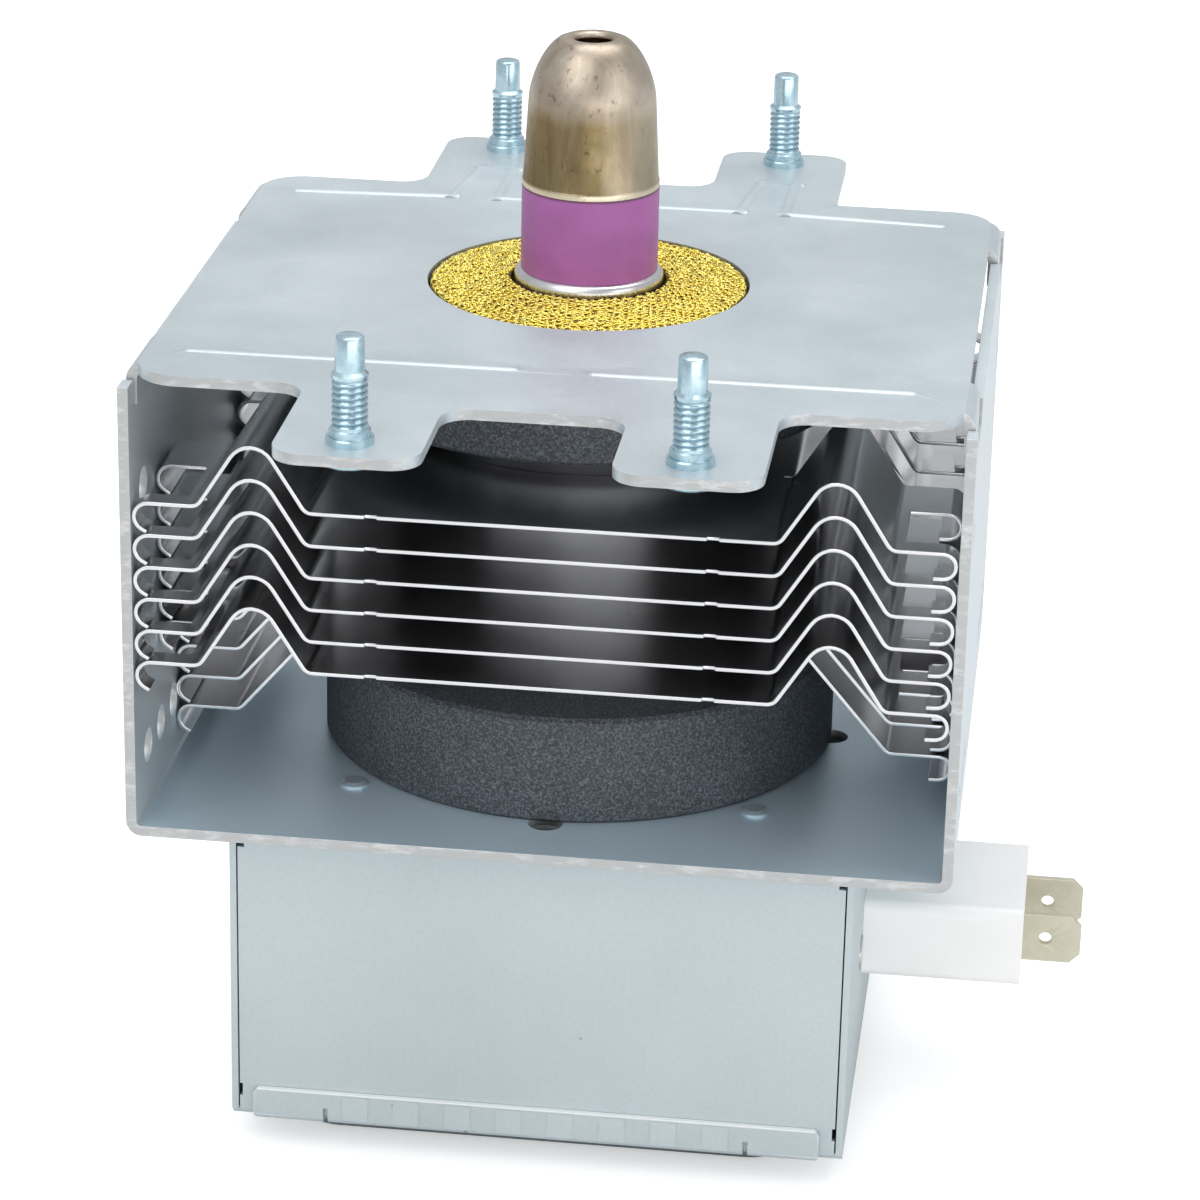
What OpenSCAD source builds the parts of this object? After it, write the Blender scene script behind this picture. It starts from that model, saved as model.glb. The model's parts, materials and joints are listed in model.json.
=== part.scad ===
// Magnetron of a microwave oven: a vacuum tube held in a steel yoke between two ring magnets,
// cooled by folded fins, with its antenna on top and a filter box below. Millimetres, +Z up.
// The origin lies on the tube's axis, on the face that the filter lid stands on.

/* [Yoke] */
// Width of the yoke over its side walls
yoke_w = 84; // [82:0.5:92]
// Depth of the yoke, front to back
yoke_d = 70; // [68:0.5:78]
// Thickness of the steel sheet of the yoke and the top plate
sheet_t = 1.1; // [1:0.05:1.4]
// Outer radius of the yoke's two bends
yoke_bend_r = 1.6; // [1.5:0.1:3]
// Height of the top plate's underside above the walls' top edges
wall_drop = 0.6; // [0.2:0.1:0.8]
// Length of the small tab at each end of a wall's top edge
wall_tab = 2.6; // [2:0.1:4]
// Length of each notch in a wall's top edge
wall_notch = 10; // [6:0.5:12]
// Depth of those notches
notch_depth = 2.6; // [2:0.1:4]
// Diameter of the holes in the walls and at the magnet's edge
yoke_hole_d = 3.6; // [2:0.1:4]
// Distance of the first wall hole from the wall's front or back edge
wall_hole_first = 6; // [4:0.5:8]
// Spacing of the wall holes
wall_hole_pitch = 6; // [5:0.5:8]
// Height of the lower row of wall holes above the yoke's underside
wall_hole_low = 7.5; // [6:0.5:12]
// Height of the upper wall holes above the yoke's underside
wall_hole_high = 36; // [30:0.5:40]

/* [Top plate] */
// Radius of the plate's corners
plate_corner_r = 4.5; // [1:0.5:5]
// Gap between the plate's side edges and the walls
plate_gap = 0.3; // [0.1:0.05:0.4]
// Depth of the plate beside the tongues, front to back
plate_d = 70.8; // [70:0.2:74]
// Rise of the plate's dished middle at the opening
dish_h = 0.9; // [0.5:0.1:1.2]
// Radius where that rise starts
dish_r = 25.5; // [22:0.5:26]
// Width of each tongue
tongue_w = 14.2; // [11:0.2:16]
// Distance of a tongue's tip beyond its stud's axis
tongue_end = 4.3; // [3.6:0.1:6]
// Reach of the plate between a pair of tongues
root_reach = 39.8; // [38:0.1:42]
// Radius of the tongues' corners, of the front roots and of the left back roots
tongue_r = 3; // [1:0.5:4]
// Radius of the right back roots
small_root_r = 0.8; // [0.4:0.1:2]
// Gap between an ear of the plate and its notch
ear_gap = 0.2; // [0.1:0.05:0.5]
// Radius of the round bar that the pressed beads are shaped like
bead_r = 1.2; // [0.7:0.05:1.4]
// Height of the pressed beads
bead_h = 0.22; // [0.15:0.01:0.4]
// Distance of the front beads from the axis
front_bead_y = 27.4; // [20:0.2:32]
// Distance of the back beads from the axis
back_bead_y = 30.9; // [28:0.1:32]
// Slant of the back beads' outer stretches, towards the front
bead_slant = 1.3; // [0:0.1:2]
// Reach of the back beads onto the tongues
bead_peak_y = 42.6; // [40:0.1:46]
// Reach of the beads to the left
left_bead_x = 36.4; // [30:0.1:38]
// Reach of the beads to the right
right_bead_x = 35.2; // [30:0.1:38]
// Half gap between the two front beads
bead_start = 4; // [2:0.2:8]

/* [Studs] */
// Spacing of the studs, left to right
stud_span_x = 32; // [30:0.5:36]
// Spacing of the studs, front to back
stud_span_y = 102; // [100:0.5:104]
// Thread diameter
stud_d = 3.5; // [3:0.1:4]
// Height of a stud above the plate
stud_h = 10.5; // [9:0.1:16]
// Height of the plain dog point, with its chamfer
stud_point_h = 3.4; // [2:0.1:5]
// Diameter of the dog point
stud_point_d = 2.9; // [2:0.1:3]
// Diameter of the collar on the plate
stud_collar_d = 4.7; // [4.6:0.1:6]
// Height of each of the collar's two steps
stud_step_h = 0.8; // [0.3:0.1:1]
// Diameter of the head below the plate
stud_head_d = 6; // [5.4:0.1:7]
// Height of the head below the plate
stud_head_h = 0.8; // [0.5:0.1:1.2]

/* [Magnets] */
// Diameter of both ferrite rings
magnet_d = 54.5; // [50:0.5:56]
// Bore of both rings
magnet_bore = 21; // [20.5:0.5:24]
// Thickness of the lower ring
lower_magnet_t = 11.6; // [10:0.1:14]
// Thickness of the upper ring
upper_magnet_t = 8.7; // [7:0.1:13]
// Chamfer on the rings' outer edges
magnet_chamfer = 0.4; // [0.2:0.1:1]

/* [Anode] */
// Outer diameter of the anode cylinder
anode_d = 39; // [38:0.2:41]
// Wall of the anode cylinder
anode_wall = 2.5; // [2:0.1:3]
// Height of the anode cylinder
anode_h = 23.1; // [22.5:0.1:26]
// Thickness of a vane
vane_t = 1.8; // [1.2:0.1:2]
// Height of a vane
vane_h = 9.5; // [8:0.1:10]
// Radius of the round space inside the vanes' tips
vane_tip_r = 4.5; // [4.3:0.1:5]
// Inner radius of the inner strap ring
strap_r = 9; // [8.8:0.1:10]
// Thickness of a strap ring
strap_t = 0.7; // [0.5:0.1:0.9]
// Height of a strap ring
strap_h = 1.3; // [1:0.1:1.8]
// Gap between a strap ring and what it passes
strap_gap = 0.3; // [0.2:0.05:0.4]
// Thickness of a pole piece
pole_t = 1.6; // [1.2:0.1:2]
// Depth of a pole piece's dish
pole_dish = 5; // [4:0.1:5.3]
// Radius of a pole piece's flat centre
pole_flat_r = 9.2; // [9:0.1:10]
// Radius of a pole piece's hole
pole_hole_r = 4.4; // [4.2:0.1:4.6]
// Thickness of the seal cups' sheet
seal_t = 0.5; // [0.4:0.05:0.6]
// Outer radius of the seal cups' tubes
seal_r = 9.2; // [9:0.1:9.5]
// Bend radius of the seal cups, at the middle of the sheet
seal_bend_r = 0.6; // [0.5:0.05:0.65]

/* [Fins] */
// Thickness of a fin's sheet
fin_t = 0.4; // [0.3:0.05:0.6]
// Spacing of the fins
fin_pitch = 3.4; // [3.35:0.05:3.7]
// Distance of the top fin below the anode cylinder's upper end
fin_top_gap = 1.8; // [1:0.1:3]
// Distance of the fins' front edges behind the yoke's
fin_inset = 0.2; // [0.1:0.1:1.5]
// Distance of the wings' first bends inside the magnets' rims
fin_tuck = 4.55; // [4:0.05:5]
// Half width of the up wave of the front and rear strips
wave_run = 6.1; // [5.6:0.1:6.3]
// Height of that wave
wave_rise = 6.5; // [5:0.1:7.5]
// Bend radius at the wave's crest
crest_r = 2.4; // [2:0.1:2.8]
// Bend radius at the wave's feet and on the middle strip
foot_r = 1.2; // [1:0.1:1.5]
// Depth of the middle strip, front to back
mid_strip = 32.4; // [30:0.2:34]
// Sideways run of the middle strip's slope
drop_run = 11.9; // [11:0.1:12.3]
// Fall of the middle strip's slope
drop_depth = 12.6; // [11:0.1:13]
// Gap between two strips
strip_slit = 0.4; // [0.3:0.1:0.8]
// Gap between the hooks and the yoke's walls
hook_gap = 0.1; // [0.05:0.05:0.3]
// Length of the hook tab at a strip's outer corner
hook_tab = 2.5; // [2:0.1:4]
// Length of the gap between that tab and the rest of the hook
hook_notch = 8.5; // [6:0.1:10]
// Gap between the collar that grips the anode cylinder and the next fin
fin_collar_gap = 0.1; // [0.05:0.05:0.5]
// Length of the shear nicks in the front and rear edges
nick_l = 1.2; // [0.8:0.1:2]
// Depth of those nicks
nick_depth = 0.3; // [0.2:0.05:0.5]
// Gap between a fin's collar and the anode cylinder
press_gap = 0.03; // [0.02:0.01:0.1]

/* [Antenna] */
// Diameter of the antenna ceramic
ceramic_d = 14.2; // [13.8:0.1:14.4]
// Height of the antenna ceramic
ceramic_h = 8.9; // [7:0.1:12]
// Wall of the antenna ceramic
ceramic_wall = 1.7; // [1.5:0.1:2]
// Height of the ceramic's foot above the top plate
ceramic_lift = 2.55; // [2:0.05:4]
// Outer radius of the collar under the ceramic
collar_r = 7.75; // [7.5:0.05:7.9]
// Diameter of the cap at its foot
cap_d = 14; // [13.6:0.1:14.2]
// Diameter of the cap where its crown starts
cap_neck_d = 13.3; // [12.8:0.1:13.6]
// Height of the cap
cap_h = 15.35; // [14:0.1:20]
// Height of the cap's crown
crown_h = 5.55; // [5:0.05:7]
// Diameter of the crown where its cone ends
cap_shoulder_d = 9.2; // [8.4:0.1:10]
// Height of the crown's rounded top
cap_round_h = 1.55; // [1.2:0.05:2]
// Diameter of the hole in the crown
cap_hole_d = 3.9; // [2:0.1:4.2]
// Wall of the cap
cap_wall = 0.5; // [0.4:0.05:0.6]
// Height of the lip at the cap's foot
cap_lip_h = 0.6; // [0.4:0.1:1]
// Outer diameter of the mesh gasket
gasket_d = 33; // [30:0.5:36]
// Bore of the mesh gasket
gasket_bore = 16.2; // [16:0.1:17]
// Height of the gasket's outer edge above the plate's opening
gasket_proud = 0.1; // [0:0.05:0.5]
// Rise of the gasket from its outer to its inner edge
gasket_rise = 0.75; // [0.3:0.05:1]
// Gap between the gasket and the plate's opening
gasket_gap = 0.25; // [0.1:0.05:0.5]
// Radius of the antenna lead
lead_r = 0.9; // [0.7:0.05:1]
// Distance of the antenna lead's foot from the axis
lead_x = 7; // [6.8:0.1:7.2]
// Outer radius of the exhaust tube
exhaust_r = 2.6; // [2:0.1:3]
// Height of the exhaust tube with its pinched end
exhaust_h = 11; // [8:0.2:12]

/* [Cathode] */
// Radius of the filament coil
filament_r = 2; // [1.7:0.1:2.4]
// Radius of the filament wire
filament_wire_r = 0.28; // [0.2:0.02:0.35]
// Turns of the filament
filament_turns = 7; // [5:1:9]
// Radius of the end hats
hat_r = 3.9; // [3.6:0.1:4.1]
// Thickness of the end hats
hat_t = 1.2; // [0.8:0.1:1.3]
// Radius of the two cathode leads
cathode_lead_r = 0.7; // [0.5:0.05:0.8]
// Radius of the stem ceramic
stem_r = 8.4; // [8:0.1:9]
// Height of the stem ceramic
stem_h = 8; // [6:0.2:9]
// Length of the lower seal cup below the yoke
stem_drop = 3.4; // [2:0.1:4]

/* [Filter box] */
// Width of the box
box_w = 64.2; // [62:0.2:70]
// Depth of the box
box_d = 62.8; // [60:0.2:68]
// Height of the box's walls
box_h = 32.5; // [31:0.1:40]
// Thickness of the box's sheet
box_t = 0.7; // [0.5:0.1:1]
// Outer bend radius of the box's side walls
box_bend_r = 1.4; // [1.1:0.1:2]
// Width of the open seam at the box's corners
seam = 0.15; // [0.1:0.05:0.4]
// Size of the relief at the top of each seam
seam_relief = 0.7; // [0.5:0.1:2]
// Height of the opening near the foot of each seam
seam_foot = 1.4; // [1:0.1:3]
// Width of that opening
seam_foot_w = 0.45; // [0.3:0.05:1]
// Height of that opening above the walls' lower edges
seam_foot_z = 1.7; // [1:0.1:3]
// Gap between the rivets' heads and the lower magnet
rivet_clear = 0.9; // [0.4:0.1:1.5]
// Diameter of a rivet's shank
rivet_d = 2; // [1.5:0.1:2.4]
// Diameter of a rivet's head
rivet_head_d = 2.9; // [2.6:0.1:3.4]
// Height of a rivet's head
rivet_head_h = 0.5; // [0.3:0.1:0.8]

/* [Filter lid] */
// Thickness of the lid's sheet
lid_t = 0.6; // [0.5:0.05:0.8]
// Depth of the lid's pressed pan
pan_depth = 3.2; // [2:0.1:5]
// Distance of the pan from the box's front and back walls
pan_inset = 3.8; // [3.6:0.1:8]
// Distance of the pan from the box's side walls
pan_side_inset = 4.6; // [3.6:0.1:8]
// Corner radius of the pan
pan_corner_r = 6; // [5:0.5:10]
// Height of the strips bent up over the box
lid_strip_h = 3.6; // [2.5:0.1:6]
// Length of the front and back strips
lid_strip_w = 59.4; // [50:0.2:61]
// Corner radius of the strips
lid_strip_r = 0.7; // [0.3:0.1:1.2]
// Height of the shallow upright ribs pressed into the strips
lid_rib_h = 0.1; // [0.05:0.05:0.2]
// Spacing of those ribs
lid_rib_pitch = 5.4; // [5:0.1:6]
// Length of the end tab of a front or back strip
lid_tab_w = 7.9; // [5:0.1:12]
// Width of the slit beside an end tab
lid_slit = 0.5; // [0.3:0.1:1]
// Bend radius of the lid's pan, at the middle of the sheet
lid_bend_r = 0.8; // [0.5:0.05:1]
// Gap between the strips and the box
lid_gap = 0.05; // [0.05:0.05:0.2]

/* [Connector] */
// Distance of the connector's middle below the yoke
connector_drop = 18.3; // [17:0.1:19]
// Depth of the connector block, front to back
block_w = 18.4; // [17:0.2:20]
// Height of the connector block
block_h = 8.8; // [8:0.2:11]
// Reach of the connector block from the box
block_reach = 17; // [14:0.2:24]
// Edge radius of the connector block
block_edge_r = 1.2; // [0.4:0.1:1.5]
// Spacing of the two terminal tabs
tab_pitch = 9.2; // [8.8:0.1:10]
// Distance of the tabs' middle below the block's
tab_drop = 0.35; // [0:0.05:0.5]
// Height of a terminal tab
tab_h = 5.4; // [4.8:0.1:5.6]
// Thickness of a terminal tab
tab_t = 0.8; // [0.6:0.1:1]
// Reach of a terminal tab from the block
tab_reach = 6.2; // [5:0.1:9]
// Diameter of the hole in a tab
tab_hole_d = 1.4; // [1:0.1:1.8]
// Distance of that hole from the block
tab_hole_x = 2.4; // [1.8:0.1:2.8]
// Corner cut of a tab's outer end
tab_corner = 1.1; // [0.4:0.1:1.4]
// Gap between a tab and its slot
tab_gap = 0.05; // [0.02:0.01:0.1]
// Thickness of the capacitor's mounting plate
cap_plate_t = 0.7; // [0.5:0.1:1]
// Depth of the mounting plate, front to back
cap_plate_w = 30; // [29:0.5:34]
// Height of the mounting plate
cap_plate_h = 11; // [10:0.5:13]
// Spacing of the two eyelets
eyelet_span = 24.6; // [24:0.2:26]
// Diameter of the wire of the choke windings
wire_d = 1.2; // [1:0.05:1.3]
// Turns of a choke winding
choke_turns = 14; // [10:1:15]
// Gap between the two choke windings
choke_gap = 0.3; // [0.2:0.1:1]
// Gap between a core and its winding
core_gap = 0.2; // [0.1:0.05:0.3]

/* [Hidden] */
$fn = 64;
vane_count = 10;
bend_step = 15;

// Levels, from the foot upwards
box_z = pan_depth + lid_t;
yoke_z = box_z + box_h;
floor_z = yoke_z + sheet_t;
lower_seal_z = floor_z + lower_magnet_t;
lower_pole_z = lower_seal_z + seal_t;
anode_z = lower_pole_z + pole_t;
anode_mid_z = anode_z + anode_h / 2;
anode_top_z = anode_z + anode_h;
upper_seal_z = anode_top_z + pole_t;
upper_magnet_z = upper_seal_z + seal_t;
plate_z = upper_magnet_z + upper_magnet_t;
plate_top_z = plate_z + sheet_t;
wall_top_z = plate_z - wall_drop;
notch_z = wall_top_z - notch_depth;
ceramic_z = plate_top_z + ceramic_lift;
cap_z = ceramic_z + ceramic_h;
seal_foot_z = yoke_z - stem_drop;
stem_z = seal_foot_z - stem_h;
connector_z = yoke_z - connector_drop;
tab_z = connector_z - tab_drop;
fin_top_z = anode_top_z - fin_top_gap;

// Radii and half sizes that several pieces share
anode_r = anode_d / 2;
anode_bore_r = anode_r - anode_wall;
magnet_r = magnet_d / 2;
wall_inner_x = yoke_w / 2 - sheet_t;
plate_half = wall_inner_x - plate_gap;
tongue_x = stud_span_x / 2;
tongue_reach = stud_span_y / 2 + tongue_end;
stud_hole_r = stud_collar_d / 2 - 0.15;
yoke_bore_r = seal_r + 0.8;
gasket_r = gasket_d / 2;
opening_r = gasket_r + gasket_gap;
ceramic_r = ceramic_d / 2;
ceramic_bore_r = ceramic_r - ceramic_wall;
hook_x = wall_inner_x - hook_gap;
fin_flat = max(magnet_r - fin_tuck, anode_r + 1.5);
fin_collar_h = fin_pitch - fin_t - fin_collar_gap;
fin_half_d = yoke_d / 2 - fin_inset;
collar_bore_r = anode_r + press_gap;
seal_mid_r = seal_r - seal_t / 2;
collar_mid_r = collar_r - seal_t / 2;
rivet_hole_r = rivet_d / 2;
rivet_ring_r = magnet_r + rivet_head_d / 2 + rivet_clear;
rivet_x = rivet_ring_r / sqrt(2);
pan_lap = 0.4;
plate_x = box_w / 2;
block_end_x = plate_x + block_reach;
spigot_w = tab_pitch + tab_t + 4.6;
spigot_h = tab_h + 1.6;
spigot_x = plate_x - box_t - 3.9;
spigot_gap = 0.1;
eyelet_r = 1.1;
eyelet_head_r = 1.9;
eyelet_head_t = 0.2;
lug_x = spigot_x - 3.5;
winding_r = (tab_pitch - choke_gap - wire_d) / 2;
core_r = winding_r - wire_d / 2 - core_gap;
lug_rise = winding_r + wire_d / 2 + 0.2;
winding_l = choke_turns * wire_d;
winding_end_x = lug_x - 2;
winding_x = winding_end_x - winding_l;
lead_foot_z = tab_z + winding_r + wire_d / 2;
filament_h = vane_h + 0.6;
filament_z = anode_mid_z - filament_h / 2;
hat_top_z = filament_z + filament_h;
lead_bend_z = lower_seal_z - 6;
lead_spread_z = lead_bend_z - 5;

// Places a child in each quarter of the plan
module quarters() {
    for (flip_x = [0, 1])
        for (flip_y = [0, 1])
            mirror([flip_x, 0, 0])
                mirror([0, flip_y, 0])
                    children();
}

// Places a child on the left and on the right
module both_sides() {
    for (flip_x = [0, 1])
        mirror([flip_x, 0, 0])
            children();
}

// Places a child at the front and at the back
module both_ends() {
    for (flip_y = [0, 1])
        mirror([0, flip_y, 0])
            children();
}

// Stands a flat section up, so that its second axis is Z, and gives it a depth along Y
module along_y(depth) {
    rotate([90, 0, 0])
        linear_extrude(depth, center = true)
            children();
}

// Stands a flat section up across the part, with its first axis along Y
module along_x(length) {
    rotate([90, 0, 90])
        linear_extrude(length, center = true)
            children();
}

module rounded_rect(w, d, r) {
    square([w - 2 * r, d], center = true);
    square([w, d - 2 * r], center = true);
    for (x = [-1, 1])
        for (y = [-1, 1])
            translate([x * (w / 2 - r), y * (d / 2 - r)])
                circle(r);
}

// Fills a square inner corner at the origin with a round of radius r
module root_fillet(r) {
    difference() {
        square(r);
        translate([r, r])
            circle(r);
    }
}

// Sheet of thickness t bent up at both sides, with its floor at the origin
module bent_u(w, h, t, r) {
    difference() {
        round_floor(w, h, r);
        translate([0, t])
            round_floor(w - 2 * t, h, r - t);
    }
}

module round_floor(w, h, r) {
    translate([-w / 2, r])
        square([w, h - r]);
    translate([r - w / 2, 0])
        square([w - 2 * r, r]);
    for (x = [-1, 1])
        translate([x * (w / 2 - r), r])
            circle(r);
}

// A bent sheet's middle line is a list of moves [run, turn, radius]: a straight run, then a bend.
// bend_line gives its points as [x, y, heading].
function bend_line(moves, start, heading) =
    concat([[start[0], start[1], heading]], bend_moves(moves, 0, start, heading));

function bend_moves(moves, i, start, heading) =
    i == len(moves) ? [] :
    let (
        run = moves[i][0],
        turn = moves[i][1],
        r = moves[i][2],
        side = sign(turn),
        bend = start + run * [cos(heading), sin(heading)],
        centre = bend + side * r * [-sin(heading), cos(heading)],
        steps = ceil(abs(turn) / bend_step),
        arc = [for (k = 1; k <= steps; k = k + 1)
            let (a = heading + turn * k / steps)
            [centre[0] + side * r * sin(a), centre[1] - side * r * cos(a), a]],
        last = steps == 0 ? bend : [arc[steps - 1][0], arc[steps - 1][1]]
    )
    concat(
        run == 0 ? [] : [[bend[0], bend[1], heading]],
        arc,
        bend_moves(moves, i + 1, last, heading + turn)
    );

function beside(p, offset) = [p[0] - offset * sin(p[2]), p[1] + offset * cos(p[2])];

// Section of a bent sheet of thickness t
module bent_sheet(moves, start, heading, t) {
    line = bend_line(moves, start, heading);
    last = len(line) - 1;
    polygon(concat(
        [for (p = line) beside(p, t / 2)],
        [for (i = [0:last]) beside(line[last - i], -t / 2)]
    ));
}

// Two opposite bends, of radii that add up to bends, joined by a straight run, move the sheet
// by run sideways and rise upwards. These give the straight run's length and slope.
function slope_length(run, rise, bends) = sqrt(run * run + (rise - bends) * (rise - bends) - bends * bends);
function slope_angle(run, rise, bends) =
    atan2(rise - bends, run) + atan2(bends, slope_length(run, rise, bends));

// Places upright children at the start of a stretch, turned to point along it
module along(start, way) {
    translate(start)
        rotate([0, atan2(norm([way[0], way[1]]), way[2]), atan2(way[1], way[0])])
            children();
}

// Round bead along straight stretches, each run on past its corners so that the outsides nearly meet
module bead_line(points, r) {
    last = len(points) - 1;
    for (i = [0:last - 1]) {
        way = points[i + 1] - points[i];
        before = i == 0 ? 0 : corner_run(points[i] - points[i - 1], way, r);
        after = i == last - 1 ? 0 : corner_run(way, points[i + 2] - points[i + 1], r);
        along(points[i], way)
            translate([0, 0, -before])
                cylinder(h = before + norm(way) + after, r = r);
    }
    for (p = [points[0], points[last]])
        translate(p)
            sphere(r);
}

function corner_run(from, to, r) =
    let (turn = atan2(norm(cross(from, to)), from * to))
    0.9 * r * tan(turn / 2);

// Round wire along straight stretches, which end inside a ball at each corner
module lead_wire(points, r) {
    last = len(points) - 1;
    for (i = [0:last - 1]) {
        way = points[i + 1] - points[i];
        before = i == 0 ? 0 : r / 2;
        after = i == last - 1 ? 0 : r / 2;
        along(points[i], way)
            translate([0, 0, before])
                cylinder(h = norm(way) - before - after, r = r);
    }
    for (i = [1:1:last - 1])
        translate(points[i])
            sphere(1.2 * r);
}

module ring(outer_r, inner_r, h) {
    difference() {
        cylinder(h = h, r = outer_r);
        translate([0, 0, -1])
            cylinder(h = h + 2, r = inner_r);
    }
}

// Steel yoke

module yoke_frame() {
    color("lightsteelblue")
        difference() {
            translate([0, 0, yoke_z])
                along_y(yoke_d)
                    bent_u(yoke_w, wall_top_z - yoke_z, sheet_t, yoke_bend_r);
            yoke_notches();
            yoke_wall_holes();
            yoke_floor_holes();
        }
}

module yoke_notches() {
    quarters()
        translate([wall_inner_x - 1, yoke_d / 2 - wall_tab - wall_notch, notch_z])
            cube([sheet_t + 2, wall_notch, notch_depth + 1]);
}

module yoke_wall_holes() {
    for (i = [0:2])
        wall_hole(wall_hole_first + i * wall_hole_pitch, wall_hole_low);
    wall_hole(wall_hole_first, wall_hole_high);
}

// Holes through both walls, near the front and the back
module wall_hole(inset, z) {
    both_ends()
        translate([0, yoke_d / 2 - inset, yoke_z + z])
            rotate([0, 90, 0])
                cylinder(h = yoke_w + 2, d = yoke_hole_d, center = true);
}

module yoke_floor_holes() {
    translate([0, 0, yoke_z - 1]) {
        cylinder(h = sheet_t + 2, r = yoke_bore_r);
        magnet_edge_holes(sheet_t + 2);
        rivet_places()
            cylinder(h = sheet_t + 2, r = rivet_hole_r);
    }
}

// Holes at the lower magnet's edge, at the right, the back and the front
module magnet_edge_holes(h) {
    for (a = [0, 90, 270])
        rotate(a)
            translate([magnet_r, 0, 0])
                cylinder(h = h, d = yoke_hole_d);
}

module rivet_places() {
    quarters()
        translate([rivet_x, rivet_x, 0])
            children();
}

// Top plate with its tongues, ears and pressed beads

module top_plate() {
    color("lightsteelblue")
        difference() {
            union() {
                translate([0, 0, plate_z])
                    linear_extrude(sheet_t)
                        difference() {
                            plate_outline();
                            circle(dish_r);
                        }
                plate_dish();
                plate_ears();
                intersection() {
                    plate_beads(plate_top_z - bead_r + bead_h);
                    translate([0, 0, plate_top_z])
                        cube([yoke_w, 2 * tongue_reach, sheet_t], center = true);
                }
            }
            plate_beads(plate_z - bead_r + bead_h);
            quarters()
                translate([tongue_x, stud_span_y / 2, plate_z - 1])
                    cylinder(h = sheet_t + 2, r = stud_hole_r);
        }
}

module plate_outline() {
    tongue_l = tongue_reach - root_reach / 2;
    half_w = tongue_w / 2;
    rounded_rect(2 * plate_half, plate_d, plate_corner_r);
    square([2 * tongue_x + tongue_w, 2 * root_reach], center = true);
    quarters()
        translate([tongue_x, tongue_reach - tongue_l / 2])
            rounded_rect(tongue_w, tongue_l, tongue_r);
    for (side = [-1, 1])
        translate([side * tongue_x, 0]) {
            left_reach = side < 0 ? plate_d / 2 : root_reach;
            right_reach = side < 0 ? root_reach : plate_d / 2;
            tongue_root(-half_w, left_reach, tongue_r);
            tongue_root(half_w, right_reach, small_root_r);
            tongue_root(-half_w, -left_reach, tongue_r);
            tongue_root(half_w, -right_reach, tongue_r);
        }
}

// Round where a tongue's edge at x leaves the plate's edge at y
module tongue_root(x, y, r) {
    translate([x, y])
        mirror([x < 0 ? 1 : 0, 0])
            mirror([0, y < 0 ? 1 : 0])
                root_fillet(r);
}

// Shallow cone of sheet that rises to the opening
module plate_dish() {
    translate([0, 0, plate_z])
        rotate_extrude()
            polygon([
                [opening_r, dish_h],
                [dish_r, 0],
                [dish_r, sheet_t],
                [opening_r, sheet_t + dish_h]
            ]);
}

// Ears bent down from the plate's edges into the walls' notches
module plate_ears() {
    ear_x = yoke_w / 2 - plate_gap - sheet_t / 2;
    bend_x = ear_x - sheet_t;
    start_x = bend_x - sheet_t;
    fall = plate_z - sheet_t / 2 - notch_z;
    quarters()
        translate([0, yoke_d / 2 - wall_tab - wall_notch / 2, 0])
            along_y(wall_notch - 2 * ear_gap)
                bent_sheet(
                    [[bend_x - start_x, -90, sheet_t], [fall, 0, 0]],
                    [start_x, plate_z + sheet_t / 2], 0, sheet_t
                );
}

// Straight beads at the front, and beads that step onto the tongues at the back
module plate_beads(z) {
    left_foot = tongue_w / 2 - 3.9;
    left_top = tongue_w / 2 - 5.4;
    right_leg = tongue_w / 2 - 5.1;
    bead_line([[-left_bead_x, -front_bead_y, z], [-bead_start, -front_bead_y, z]], bead_r);
    bead_line([[bead_start, -front_bead_y, z], [right_bead_x, -front_bead_y, z]], bead_r);
    bead_line([
        [-left_bead_x, back_bead_y - bead_slant, z],
        [-tongue_x - left_foot, back_bead_y, z],
        [-tongue_x - left_top, bead_peak_y, z],
        [-tongue_x + right_leg, bead_peak_y, z],
        [-tongue_x + right_leg, back_bead_y, z],
        [tongue_x - left_foot, back_bead_y, z],
        [tongue_x - left_top, bead_peak_y, z],
        [tongue_x + right_leg, bead_peak_y, z],
        [tongue_x + right_leg, back_bead_y, z],
        [right_bead_x, back_bead_y - bead_slant, z]
    ], bead_r);
}

module mounting_studs() {
    collar_r = stud_collar_d / 2;
    thread_r = stud_d / 2;
    point_r = stud_point_d / 2;
    step_r = collar_r - 0.2;
    head_r = stud_head_d / 2;
    chamfer = thread_r - point_r;
    thread_top = sheet_t + stud_h - stud_point_h;
    tip = sheet_t + stud_h;
    color("lightblue")
        quarters()
            translate([tongue_x, stud_span_y / 2, plate_z])
                rotate_extrude()
                    polygon([
                        [0, -stud_head_h],
                        [head_r, -stud_head_h],
                        [head_r, 0],
                        [stud_hole_r, 0],
                        [stud_hole_r, sheet_t],
                        [collar_r, sheet_t],
                        [collar_r, sheet_t + stud_step_h],
                        [step_r, sheet_t + stud_step_h],
                        [step_r, sheet_t + 2 * stud_step_h],
                        [thread_r, sheet_t + 2 * stud_step_h],
                        [thread_r, thread_top],
                        [point_r, thread_top + chamfer],
                        [point_r, tip - chamfer],
                        [point_r - chamfer, tip],
                        [0, tip]
                    ]);
}

// Knitted mesh ring on the upper magnet, in the plate's opening, higher at its inner edge
module rf_gasket() {
    edge = 0.3;
    bore_r = gasket_bore / 2;
    outer_h = sheet_t + dish_h + gasket_proud;
    inner_h = outer_h + gasket_rise;
    color("goldenrod")
        translate([0, 0, plate_z])
            rotate_extrude()
                polygon([
                    [bore_r, 0],
                    [gasket_r, 0],
                    [gasket_r, outer_h - edge],
                    [gasket_r - edge, outer_h],
                    [bore_r + edge, inner_h],
                    [bore_r, inner_h - edge]
                ]);
}

// Ferrite rings

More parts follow.
